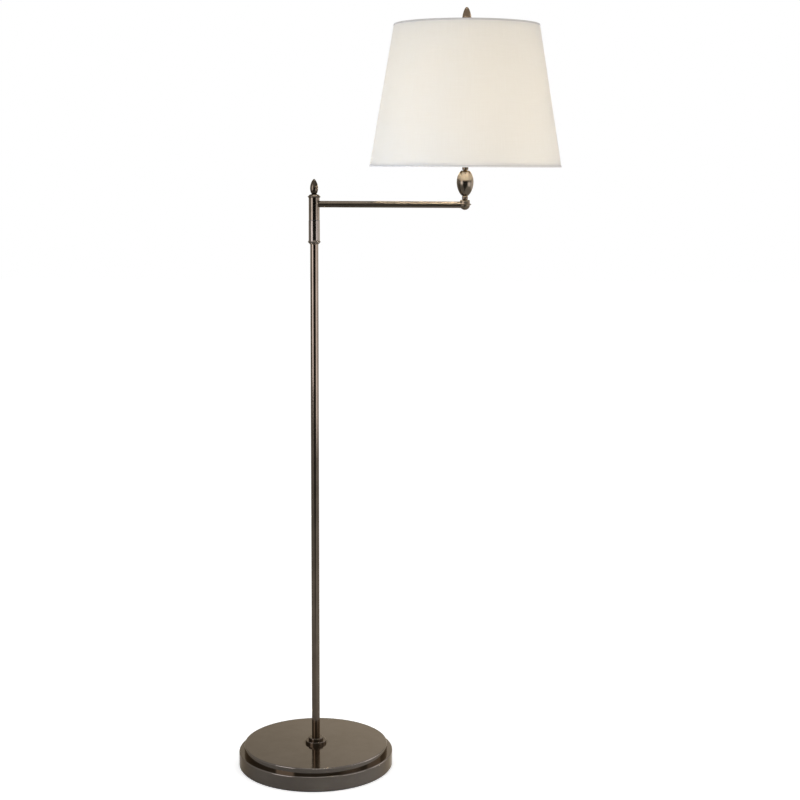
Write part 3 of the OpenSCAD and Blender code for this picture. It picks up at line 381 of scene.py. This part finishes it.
def bronze(name, lines, axis_x=0.0, rough=0.14, clouding=1.0, tone=(1, 1, 1), line_depth=0.07,
           painted_shades=(), eased=None):
    """lines is turned_z, drawn_z or drawn_x. painted_shades lists (radius, height, reach, depth of
    colour), each a painted shade round a corner.
    eased is (height, radius) of a top edge that polishing has rounded."""
    dark, light = (tuple(c * t for c, t in zip(shade, tone)) for shade in (BRONZE_DARK, BRONZE_LIGHT))
    finish = new_finish(name)
    spot, (x, y, z) = finish.place()
    across = x - axis_x
    radius = (across * across + y * y) ** 0.5
    stretched = {
        "turned_z": (radius * LATHE_LINES, 0.0, z * LATHE_LINES),
        "drawn_z": (across * DRAWN_LINES, y * DRAWN_LINES, z * DRAWN_RUN),
        "drawn_x": (x * DRAWN_RUN, y * DRAWN_LINES, z * DRAWN_LINES),
    }[lines]
    fine = finish.noise(finish.vector(*stretched), 1.0, detail=2.0)
    clouds = finish.noise(spot, CLOUD_SCALE, detail=4.0, roughness=0.6)
    smudge = finish.noise(spot, SMUDGE_SCALE, detail=3.0, roughness=0.55)
    patina = (clouds * 0.7 + smudge * 0.3).between(*PATINA_RANGE) * clouding + 0.5 * (1 - clouding)
    colour = finish.blend(patina, dark, light)
    # Painted shade: the colour darkens round each listed corner, standing in for shade and dark
    # reflections there.
    for corner_r, corner_z, reach, share in painted_shades:
        out, up = radius - corner_r, z - corner_z
        in_painted_shade = 1 - ((out * out + up * up) ** 0.5).between(0.0, reach)
        colour = finish.blend(in_painted_shade * share, colour, BRONZE_PAINTED_SHADE)
    normal = finish.bump(fine * 0.8 + smudge * 0.2, line_depth, LINE_REACH)
    if eased:
        edge_z, edge_r = eased
        climb = (z - (edge_z - edge_r)).math("MAXIMUM", 0.0) / edge_r
        sunk = (1 - climb * climb * STEEPEST) ** 0.5 * edge_r
        normal = finish.bump(sunk, strength=1.0, distance=1.0, under=normal)
    return finish.show(finish.node("ShaderNodeBsdfPrincipled", {}, {
        "Base Color": colour,
        "Metallic": 1.0,
        "Roughness": rough + patina * PATINA_DULLS + fine * LINES_DULL,
        "Specular Tint": BRONZE_GLINT,
        "Normal": normal,
    }))


print("bronze from", BRONZE_DARK, "to", BRONZE_LIGHT)

# %% Dressing
def dress(material, *names):
    """Gives CAD nodes their finish."""
    for name in names:
        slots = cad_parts[name].data.materials
        slots.clear()
        slots.append(material)


print("CAD nodes to dress:", len(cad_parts))

# %% [markdown]
# ## Each bronze piece by itself
# Each piece gets its own tone of the one bronze, so they differ a little. The spun deck is the
# smoothest and coolest, and the acorn is the darkest. The egg, the ball elbow and the shade's finial
# are painted lighter: a painted reflection, standing in for the lit shade that they mirror. One
# material could serve them all, but then the lamp would look cast in one lump. The painted shade
# round the corners takes its heights and radii from the pieces' own boxes, so it stays where the
# pieces meet.

# %% Bronze pieces
shade_finial_low, shade_finial_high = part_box("shade_finial")
SHADE_AXIS_X = (shade_finial_low.x + shade_finial_high.x) / 2
_, base_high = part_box("base_cover")
_, step_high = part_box("step_cover")
_, collar_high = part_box("foot_collar")
_, elbow_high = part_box("ball_elbow")
# Painted shades (radius, height, reach, depth): round the deck's step, round the collar's foot, and up
# the pole's foot.
deck_corner_shades = [(step_high.x, base_high.z, 0.011, 0.12), (collar_high.x, step_high.z, 0.005, 0.4)]
collar_corner_shade = (0.015, collar_high.z - 0.004, 0.012, 0.30)
pole_foot_shade = (0.007, collar_high.z, 0.050, 0.3)
elbow_edge = (elbow_high.z, 0.0028)

dress(bronze("bronze_deck", "turned_z", rough=0.06, clouding=0.3, tone=(1.05, 1.07, 1.09),
             painted_shades=deck_corner_shades), "base_cover", "step_cover")
dress(bronze("bronze_collar", "turned_z", painted_shades=[collar_corner_shade]), "foot_collar")
dress(bronze("bronze_turned", "turned_z", rough=0.11), "lower_sleeve")
dress(bronze("bronze_hub", "turned_z", rough=0.11, tone=(0.92, 0.88, 0.80)), "swing_hub", "hub_cap")
dress(bronze("bronze_acorn", "turned_z", tone=(0.52, 0.48, 0.41)), "pole_finial")
dress(bronze("bronze_turned_end", "turned_z", SHADE_AXIS_X, tone=(0.88, 0.82, 0.70)),
      "elbow_cap", "neck_spool", "check_ring")
# Painted reflection: the egg's lighter tone stands in for the lit shade it mirrors.
dress(bronze("bronze_egg_painted_reflection", "turned_z", SHADE_AXIS_X, clouding=0.5, tone=(1.03, 0.99, 0.88)), "egg_body")
# Painted reflection: the finial's light, brassy tone stands in for the lit shade it mirrors.
dress(bronze("bronze_finial_painted_reflection", "turned_z", SHADE_AXIS_X, tone=(1.45, 1.22, 0.95)), "shade_finial")
# Painted reflection: the elbow's lighter tone stands in for the lit shade above it.
dress(bronze("bronze_elbow_painted_reflection", "turned_z", SHADE_AXIS_X, tone=(1.1, 1.02, 0.88), eased=elbow_edge),
      "ball_elbow")
dress(bronze("bronze_drawn_pole", "drawn_z", rough=0.07, clouding=0.6, tone=(1.04, 0.97, 0.88),
             line_depth=0.025, painted_shades=[pole_foot_shade]), "pole")
dress(bronze("bronze_drawn_arm", "drawn_x", rough=0.20, clouding=0.35, tone=(0.86, 0.82, 0.73),
             line_depth=0.02), "arm_tube")
print("shade axis at x =", round(SHADE_AXIS_X, 4))

# %% [markdown]
# ## The other metals
# Inside the shade the parts are bright: a lacquered brass holder and harp, nickelled steel for
# the shade's wire frame. Under the base and inside the joints are plain steel and raw iron. They
# are small or out of sight, so a shorter recipe does: clouds of colour and a fine grit.

# %% Brass, steel and iron
def plain_metal(name, dark, light, rough, uneven, grit_scale=2200.0, grit_reach=0.00004):
    finish = new_finish(name)
    spot, _ = finish.place()
    clouds = finish.noise(spot, 40.0, detail=3.0, roughness=0.6).between(0.3, 0.7)
    grit = finish.noise(spot, grit_scale, detail=2.0)
    return finish.show(finish.node("ShaderNodeBsdfPrincipled", {}, {
        "Base Color": finish.blend(clouds, dark, light),
        "Metallic": 1.0,
        "Roughness": rough + clouds * uneven + grit * 0.05,
        "Normal": finish.bump(grit, strength=0.3, distance=grit_reach),
    }))


brass = plain_metal("lacquered_brass", (0.60, 0.42, 0.19), (0.74, 0.55, 0.28), rough=0.2, uneven=0.1)
steel = plain_metal("nickelled_steel", (0.50, 0.49, 0.47), (0.62, 0.61, 0.58), rough=0.26, uneven=0.12)
iron = plain_metal("cast_iron", (0.06, 0.06, 0.06), (0.12, 0.115, 0.11), rough=0.55, uneven=0.2,
                   grit_scale=600.0, grit_reach=0.0004)
dress(brass, "egg_tube", "harp_saddle", "harp_wire", "harp_ferrules", "harp_seat", "holder_cap",
      "holder_shell", "holder_screw_shell", "holder_contact", "switch_shaft")
dress(steel, "base_rod", "base_washer", "split_washer", "base_nut", "pole_foot_bush", "swing_spindle",
      "stop_pin", "spindle_nut", "saddle_nut", "bulb_cap", "bulb_contact", "shade_top_ring",
      "shade_low_ring", "shade_spider")
dress(iron, "base_weight", "step_weight")
print("metals:", brass.name, steel.name, iron.name)

# %% [markdown]
# ## Felt, mouldings and card
# Felt scatters light from countless loose fibres, so it is a rough surface with a strong sheen
# and a deep uneven bump. Real fibres could be grown as hair, but the pad lies hidden under the
# base, so a bump will do. The moulded parts are matt plastic with a fine eroded grain, and the
# holder's liner is grey-brown pressed card. All three are one recipe with another grain.

# %% Felt, mouldings and card
def matt_finish(name, dark, light, rough, grain, reach, sheen=0.0):
    finish = new_finish(name)
    spot, _ = finish.place()
    clouds = finish.noise(spot, grain * 0.12, detail=3.0)
    fibres = finish.noise(spot, grain, detail=4.0, roughness=0.7)
    return finish.show(finish.node("ShaderNodeBsdfPrincipled", {}, {
        "Base Color": finish.blend((clouds * 0.5 + fibres * 0.5).between(0.3, 0.7), dark, light),
        "Roughness": rough + fibres * 0.12,
        "Sheen Weight": sheen,
        "Normal": finish.bump(fibres, strength=0.6, distance=reach),
    }))


felt = matt_finish("base_felt", (0.012, 0.013, 0.013), (0.035, 0.035, 0.034),
                   rough=0.85, grain=1600.0, reach=0.0006, sheen=0.3)
nylon = matt_finish("black_nylon", (0.014, 0.014, 0.015), (0.030, 0.030, 0.031),
                    rough=0.42, grain=2600.0, reach=0.00005)
resin = matt_finish("moulded_resin", (0.010, 0.009, 0.009), (0.022, 0.020, 0.018),
                    rough=0.3, grain=2200.0, reach=0.00005)
card = matt_finish("pressed_card", (0.38, 0.30, 0.20), (0.50, 0.41, 0.29),
                   rough=0.8, grain=1400.0, reach=0.0001)
dress(felt, "felt_pad")
dress(nylon, "cord_bushing", "thrust_washer")
dress(resin, "holder_core", "switch_knob")
dress(card, "holder_liner")
print("matt finishes:", felt.name, nylon.name, resin.name, card.name)

# %% [markdown]
# ## The lit bulb
# The bulb is opal glass: the coating inside scatters the light, so the whole envelope shines
# evenly and no filament shows. A point light inside clear glass would do the same with much more
# noise, so the surface itself emits. It is a little dimmer at its neck, where the cap shades the
# coating. It is also the lamp that lights the shade from inside.

# %% Bulb
BULB_GLOW = 145.0
OPAL_WHITE = (0.86, 0.85, 0.82)
NECK_LIGHT, FULL_LIGHT = (0.55, 0.51, 0.44), (1.0, 0.945, 0.84)
NECK_FROM, NECK_TO = 0.004, 0.035

opal = new_finish("opal_glass")
_, (_, _, z) = opal.place()
bulb_low, bulb_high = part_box("bulb_glass")
past_neck = z.between(bulb_low.z + NECK_FROM, bulb_low.z + NECK_TO)
dress(opal.show(opal.node("ShaderNodeBsdfPrincipled", {}, {
    "Base Color": OPAL_WHITE,
    "Roughness": 0.22,
    "Emission Color": opal.blend(past_neck, NECK_LIGHT, FULL_LIGHT),
    "Emission Strength": BULB_GLOW,
})), "bulb_glass")
print("bulb envelope", [round(v * 1000) for v in bulb_high - bulb_low], "mm")

# %% [markdown]
# ## The linen shade
# A hard-backed shade is a cone of linen glued to a stiff white sheet and rolled round two wire
# rings. It could be a plain cone with no thickness, but the second layer, the seam and the folded
# rims are what make it a made thing. All its sizes are read from the boxes of the CAD model's
# tapes, so the cloth lies between them whatever size the shade has.

# %% The cone's sizes
TAPE_T = 0.0004
WALL_T = 0.0012
ROUND = 288
low_tape_low, low_tape_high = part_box("shade_low_tape")
top_tape_low, top_tape_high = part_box("shade_top_tape")
RIM_LOW_Z, RIM_TOP_Z = low_tape_low.z, top_tape_high.z
RIM_LOW_R = (low_tape_high.x - low_tape_low.x) / 2
TOP_TAPE_R = (top_tape_high.x - top_tape_low.x) / 2
MEAN_R = (RIM_LOW_R + TOP_TAPE_R) / 2
SLOPE = (RIM_LOW_R - TOP_TAPE_R) / (top_tape_low.z - RIM_LOW_Z)


def cone_r(z):
    return RIM_LOW_R - (z - RIM_LOW_Z) * SLOPE


print(f"rims at {RIM_LOW_Z:.4f} and {RIM_TOP_Z:.4f} m, lower radius {RIM_LOW_R:.4f} m")

# %% [markdown]
# ## The glued seam
# The sheet is rolled up and its two ends overlap by a centimetre at the back. A second strip laid
# over the first would meet it in a sharp edge. Here the outer surface itself rises by one
# thickness of cloth where the ends overlap, and five close rows of points at each shoulder let it
# rise softly, as glued cloth does.

# %% The seam
SEAM_AT = math.pi / 2
SEAM_WIDTH = 0.010
SEAM_STEP = 0.0004
SHOULDER = 0.0012
SHOULDER_POINTS = (-0.0007, -0.00035, 0.0, 0.00035, 0.0007)


def seam_lift(angle):
    """1 where the cloth lies double, 0 elsewhere, with soft shoulders."""
    away = abs(math.remainder(angle - SEAM_AT, 2 * math.pi)) * MEAN_R
    share = min(1, max(0, ((SEAM_WIDTH + SHOULDER) / 2 - away) / SHOULDER))
    return share * share * (3 - 2 * share)


def ring_angles():
    """Even steps round the cone, with extra ones at the seam's two shoulders."""
    even = [2 * math.pi * i / ROUND for i in range(ROUND)]
    extra = [SEAM_AT + side * (SEAM_WIDTH / 2 + step) / MEAN_R
             for side in (-1, 1) for step in SHOULDER_POINTS]
    return sorted(set(round(a, 6) for a in even + extra))


ANGLES = ring_angles()
print("steps round the cone:", len(ANGLES), "and", ROUND, "without the seam")

# %% [markdown]
# ## Points, faces and pieces
# Blender's own cones and tubes could be bent into shape, but a list of points and faces keeps
# every size exact and gives the same mesh each time. A face may be listed either way round, so its
# outer side is worked out afterwards for the whole piece. A band round the shade is one closed
# section, repeated at every angle and joined to the next.

# %% Making pieces
def new_piece(name, points, faces, body):
    """A mesh with all its faces turned outwards, which rides on a body."""
    mesh = bpy.data.meshes.new(name)
    mesh.from_pydata(points, [], faces)
    made = bmesh.new()
    made.from_mesh(mesh)
    bmesh.ops.recalc_face_normals(made, faces=made.faces)
    made.to_mesh(mesh)
    made.free()
    piece = bpy.data.objects.new(name, mesh)
    bpy.context.scene.collection.objects.link(piece)
    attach(piece, body)
    print(name, len(points), "points,", len(faces), "faces")
    return piece


def smooth_under(piece, degrees):
    """Smooth shading, with a crease where two faces meet at more than this angle."""
    for face in piece.data.polygons:
        face.use_smooth = True
    piece.data.set_sharp_from_angle(angle=math.radians(degrees))


print("pieces so far:", len(bpy.data.meshes), "meshes")

# %% A band round the shade
def cone_mesh(name, section, body, lift_rows=None):
    """A closed band round the shade's axis. section lists [depth in from the cone, height]."""
    count = len(section)
    points, faces = [], []
    for angle in ANGLES:
        lift = seam_lift(angle) * SEAM_STEP
        for row, (depth, z) in enumerate(section):
            out = lift if lift_rows is None or row in lift_rows else 0.0
            r = cone_r(z) - depth + out
            points.append((SHADE_AXIS_X + r * math.cos(angle), r * math.sin(angle), z))
    for i in range(len(ANGLES)):
        j = (i + 1) % len(ANGLES)
        for k in range(count):
            m = (k + 1) % count
            faces.append((i * count + k, j * count + k, j * count + m, i * count + m))
    return new_piece(name, points, faces, body)


print("a band has", len(ANGLES), "points for each row of its section")

# %% [markdown]
# ## The wall of the shade
# The wall is the linen and its stiff lining, 1.2 mm thick together. Its section goes up the
# outside and comes down the inside in 36 steps. Only the outer rows take part in the seam, because
# the lining's ends are cut to meet and don't overlap.

# %% Linen wall
ROWS = 36
z_low, z_top = RIM_LOW_Z + TAPE_T, RIM_TOP_Z - TAPE_T
heights = [z_low + (z_top - z_low) * i / ROWS for i in range(ROWS + 1)]
wall = [[TAPE_T, z] for z in heights] + [[TAPE_T + WALL_T, z] for z in reversed(heights)]
linen_cloth = cone_mesh("linen_cloth", wall, "shade", lift_rows=range(ROWS + 1))
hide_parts("shade_linen")
smooth_under(linen_cloth, degrees=40)

# %% [markdown]
# ## Cloth and lining
# The wall is two layers: linen outside and a smooth white sheet inside. Light from the bulb has
# to come through both, and daylight falls on the outside, so each layer is a mix of a matt
# surface and a translucent one. The weave is far finer than the shade, so it is drawn in the
# finish: two sets of threads that pass over and under each other, and the thicker threads, called
# slubs, that mark linen.

# %% Weave
THREAD = 0.00062
SLUB_ACROSS, SLUB_ALONG, OTHER_SET = 1100, 22, 7.0


def shade_place(finish):
    """A point of the shade, its distance round the shade, and its height."""
    spot, (x, y, z) = finish.place()
    return spot, y.math("ARCTAN2", x - SHADE_AXIS_X) * MEAN_R, z


def woven(finish, along, up):
    """Height of a plain weave, and how thick its threads run."""
    turn = math.pi / THREAD
    warp, weft = ((way * turn).math("SINE").math("ABSOLUTE") for way in (along, up))
    over = (along * (turn / 2)).math("SINE") * (up * (turn / 2)).math("SINE")
    over = over.between(-0.2, 0.2)
    upright = finish.vector(along * SLUB_ACROSS, up * SLUB_ALONG, 0.0)
    level = finish.vector(along * SLUB_ALONG, up * SLUB_ACROSS, OTHER_SET)
    slub_up, slub_along = (finish.noise(way, 1.0, detail=2.0) for way in (upright, level))
    slubs = (slub_up + slub_along) * 0.5
    return warp * over + weft * (1 - over) + slubs * 1.4, slubs


print("thread pitch", THREAD * 1000, "mm")

# %% Linen finish
LINEN_DARK, LINEN_LIGHT, LINEN_GLOW = (0.79, 0.777, 0.765), (0.85, 0.837, 0.825), (0.93, 0.86, 0.70)
LINEN_THROUGH = 0.32

linen = new_finish("natural_linen")
spot, along, up = shade_place(linen)
height, slubs = woven(linen, along, up)
thick = slubs.between(0.35, 0.65)
stain = linen.noise(spot, 9.0)
weave_normal = linen.bump(height, strength=0.28, distance=0.00008)
front = linen.node("ShaderNodeBsdfPrincipled", {}, {
    "Base Color": linen.blend(thick * 0.6 + stain * 0.4, LINEN_DARK, LINEN_LIGHT),
    "Roughness": 0.86 + thick * 0.08,
    "Normal": weave_normal,
})
through = linen.node("ShaderNodeBsdfTranslucent", {}, {"Color": LINEN_GLOW, "Normal": weave_normal})
linen.show(linen.node("ShaderNodeMixShader", {}, {0: LINEN_THROUGH - thick * 0.04, 1: front, 2: through}))
print("linen lets through", LINEN_THROUGH)

# %% [markdown]
# ## The lining
# The lining is a smooth white sheet with a faint mottle from its glue. It lets less light through
# than the linen, and it hides the weave from inside. It could be a mesh of its own, but the two
# are glued into one wall, so the wall has two materials: a face that lies deeper than the middle
# of the wall gets the lining.

# %% Lining finish
LINING_DARK, LINING_LIGHT, LINING_GLOW = (0.76, 0.755, 0.74), (0.81, 0.805, 0.79), (0.93, 0.88, 0.80)
LINING_THROUGH = 0.20

lining = new_finish("white_lining")
spot, _ = lining.place()
mottle = lining.noise(spot, 60.0)
front = lining.node("ShaderNodeBsdfPrincipled", {}, {
    "Base Color": lining.blend(mottle, LINING_DARK, LINING_LIGHT),
    "Roughness": 0.40 + mottle * 0.15,
    "Normal": lining.bump(mottle, strength=0.15, distance=0.0001),
})
through = lining.node("ShaderNodeBsdfTranslucent", {}, {"Color": LINING_GLOW})
lining.show(lining.node("ShaderNodeMixShader", {}, {0: LINING_THROUGH, 1: front, 2: through}))

linen_cloth.data.materials.append(linen.owner)
linen_cloth.data.materials.append(lining.owner)
for face in linen_cloth.data.polygons:
    x, y, z = face.center
    depth = cone_r(z) - math.hypot(x - SHADE_AXIS_X, y)
    face.material_index = int(depth > TAPE_T + WALL_T * 0.6)
lined = sum(face.material_index for face in linen_cloth.data.polygons)
print("faces of lining:", lined, "of", len(linen_cloth.data.polygons))

# %% [markdown]
# ## Edge tapes
# A strip of the same linen is folded over each rim and glued down on both sides. The fold is
# round, not square, and its four layers let hardly any light through. Its colour is also painted
# greyer than the linen's, a painted shade, so it shows as a thin darker line on a lit shade. A
# bevel could round the CAD model's square tape, but a drawn section keeps its thickness even. It
# is drawn once for both rims: a leg outside, a half round over the rim and a short leg inside.

# %% Edge tapes
TAPE_LEG, TAPE_FOLD = 0.003, 0.002
FOLD_STEPS = 8
# Painted shade: the tape's colour is painted greyer than the linen it is cut from.
TAPE_PAINTED_SHADE_DARK, TAPE_PAINTED_SHADE_LIGHT = (0.61, 0.575, 0.55), (0.69, 0.655, 0.625)


def tape_section(rim_z, down):
    """down is 1 for the top rim, where the tape hangs down from it, and -1 below."""
    inner = WALL_T + 2 * TAPE_T
    fold_r = inner / 2
    rows = [[0.0, TAPE_LEG], [0.0, (TAPE_LEG + fold_r) / 2]]
    for i in range(FOLD_STEPS + 1):
        turn = math.pi * i / FOLD_STEPS
        rows.append([fold_r - fold_r * math.cos(turn), fold_r - fold_r * math.sin(turn)])
    rows += [[inner, TAPE_FOLD], [inner - TAPE_T, TAPE_FOLD], [inner - TAPE_T, TAPE_T], [TAPE_T, TAPE_T],
             [TAPE_T, TAPE_LEG]]
    return [[depth, rim_z - down * drop] for depth, drop in rows]


folded = new_finish("linen_edge_tape_painted_shade")
_, along, up = shade_place(folded)
height, slubs = woven(folded, along, up)
tape_painted_finish = folded.show(folded.node("ShaderNodeBsdfPrincipled", {}, {
    "Base Color": folded.blend(slubs.between(0.3, 0.7), TAPE_PAINTED_SHADE_DARK, TAPE_PAINTED_SHADE_LIGHT),
    "Roughness": 0.9,
    "Normal": folded.bump(height, strength=0.5, distance=0.0001),
}))
for name, rim_z, down, node in (
    ("edge_tape_top", RIM_TOP_Z, 1, "shade_top_tape"), ("edge_tape_low", RIM_LOW_Z, -1, "shade_low_tape"),
):
    tape = cone_mesh(name, tape_section(rim_z, down), "shade")
    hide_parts(node)
    smooth_under(tape, degrees=50)
    tape.data.materials.append(tape_painted_finish)

# %% [markdown] ## The linen laid flat Laid flat, a cone is a sector of a ring. Its two
# radii are the rims' radii divided by the sine of the cone's half angle, and its spread is the
# full turn times that sine. The script doesn't work it out.

# %% [markdown]
# ## The harp's bow
# The harp is the bow that carries the shade over the bulb, and it is one bent wire. Its path is
# four lines and five arcs, and the wire is a circle carried along it. A curve with a bevel would
# do the same, but carrying the circle here gives control of the ring count, so that the polish
# shows a clean line. Only the right leg is worked out, and the left one mirrors it.

# %% Carrying a circle
HARP_R, WIRE_SIDES = 0.0016, 20


def carry_circle(name, path, radius, sides, body):
    """A round wire along path, a list of (x, z, heading) in the plane y = 0."""
    points, faces = [], []
    for x, z, heading in path:
        for k in range(sides):
            a = 2 * math.pi * k / sides
            points.append((
                SHADE_AXIS_X + x - radius * math.cos(a) * math.sin(heading), radius * math.sin(a),
                z + radius * math.cos(a) * math.cos(heading),
            ))
    for i in range(len(path) - 1):
        for k in range(sides):
            m = (k + 1) % sides
            faces.append((i * sides + k, i * sides + m, (i + 1) * sides + m, (i + 1) * sides + k))
    faces.append(tuple(range(sides - 1, -1, -1)))
    faces.append(tuple((len(path) - 1) * sides + k for k in range(sides)))
    return new_piece(name, points, faces, body)


def bend(centre_x, centre_z, radius, start, turn, steps):
    """Points of an arc in the plane y = 0, each with its angle at the arc's centre."""
    angles = (start + turn * i / steps for i in range(steps + 1))
    return [(centre_x + radius * math.cos(a), centre_z + radius * math.sin(a), a) for a in angles]


print("harp wire", HARP_R * 2000, "mm thick")

# %% Harp bow
LEG_X, REACH = 0.03145, 0.055
LEG_LOW_Z, LEG_TOP_Z, CROWN_Z = 1.0806, 1.0996, 1.2386
LEAN = math.radians(30)
SWEEP_R = (REACH - LEG_X) / 2 / (1 - math.cos(LEAN))
SWEEP_STEPS, CROWN_STEPS = 8, 40

right_leg = [(LEG_X, LEG_LOW_Z, math.pi / 2)]
right_leg += [(x, z, a - math.pi / 2)
              for x, z, a in bend(LEG_X + SWEEP_R, LEG_TOP_Z, SWEEP_R, math.pi, -LEAN, SWEEP_STEPS)]
shoulder_z = LEG_TOP_Z + 2 * SWEEP_R * math.sin(LEAN)
right_leg += [(x, z, a + math.pi / 2)
              for x, z, a in bend(REACH - SWEEP_R, shoulder_z, SWEEP_R, -LEAN, LEAN, SWEEP_STEPS)[1:]]
crown = [(x, z, a + math.pi / 2) for x, z, a in bend(0.0, CROWN_Z, REACH, 0.0, math.pi, CROWN_STEPS)]
left_leg = [(-x, z, 2 * math.pi - heading) for x, z, heading in reversed(right_leg)]
harp_bow = carry_circle("harp_bow", right_leg + crown + left_leg, HARP_R, WIRE_SIDES, "arm")
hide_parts("harp_wire")
smooth_under(harp_bow, degrees=60)
harp_bow.data.materials.append(brass)
print("harp bow rings:", len(right_leg + crown + left_leg))

# %% [markdown]
# ## The threaded tube
# A lamp is held together by one threaded tube, and a millimetre of it shows between the egg and
# the check ring. A bump would only shade it, and its outline shows against the light, so the
# thread is cut into the mesh. A thread is a groove that climbs as it goes round, so the tube's
# radius is a zigzag of height plus turn.

# %% Lamp thread
PITCH, THREAD_DEPTH, AROUND, PER_PITCH = 0.00094, 0.00042, 40, 6
TUBE_BORE_R = 0.0026
tube_low, tube_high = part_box("egg_tube")
tube_r = (tube_high.x - tube_low.x) / 2


def threaded_tube(name, low, high, outer_r, bore_r):
    steps = int((high - low) / PITCH * PER_PITCH)
    heights = [low + (high - low) * i / steps for i in range(steps + 1)]
    points, faces = [], []
    for k in range(AROUND):
        a = 2 * math.pi * k / AROUND
        column = [(bore_r, low)]
        for z in heights:
            phase = ((z - low) / PITCH - k / AROUND) % 1
            column.append((outer_r - THREAD_DEPTH * abs(2 * phase - 1), z))
        column.append((bore_r, high))
        points += [(SHADE_AXIS_X + r * math.cos(a), r * math.sin(a), z) for r, z in column]
    count = len(heights) + 2
    for k in range(AROUND):
        j = (k + 1) % AROUND
        for i in range(count):
            m = (i + 1) % count
            faces.append((k * count + i, j * count + i, j * count + m, k * count + m))
    return new_piece(name, points, faces, "arm")


lamp_thread = threaded_tube("lamp_thread", tube_low.z, tube_high.z, tube_r, TUBE_BORE_R)
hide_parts("egg_tube")
smooth_under(lamp_thread, degrees=30)
lamp_thread.data.materials.append(brass)
print("thread turns:", round((tube_high.z - tube_low.z) / PITCH, 1))

# %% [markdown] ## The end of the lesson
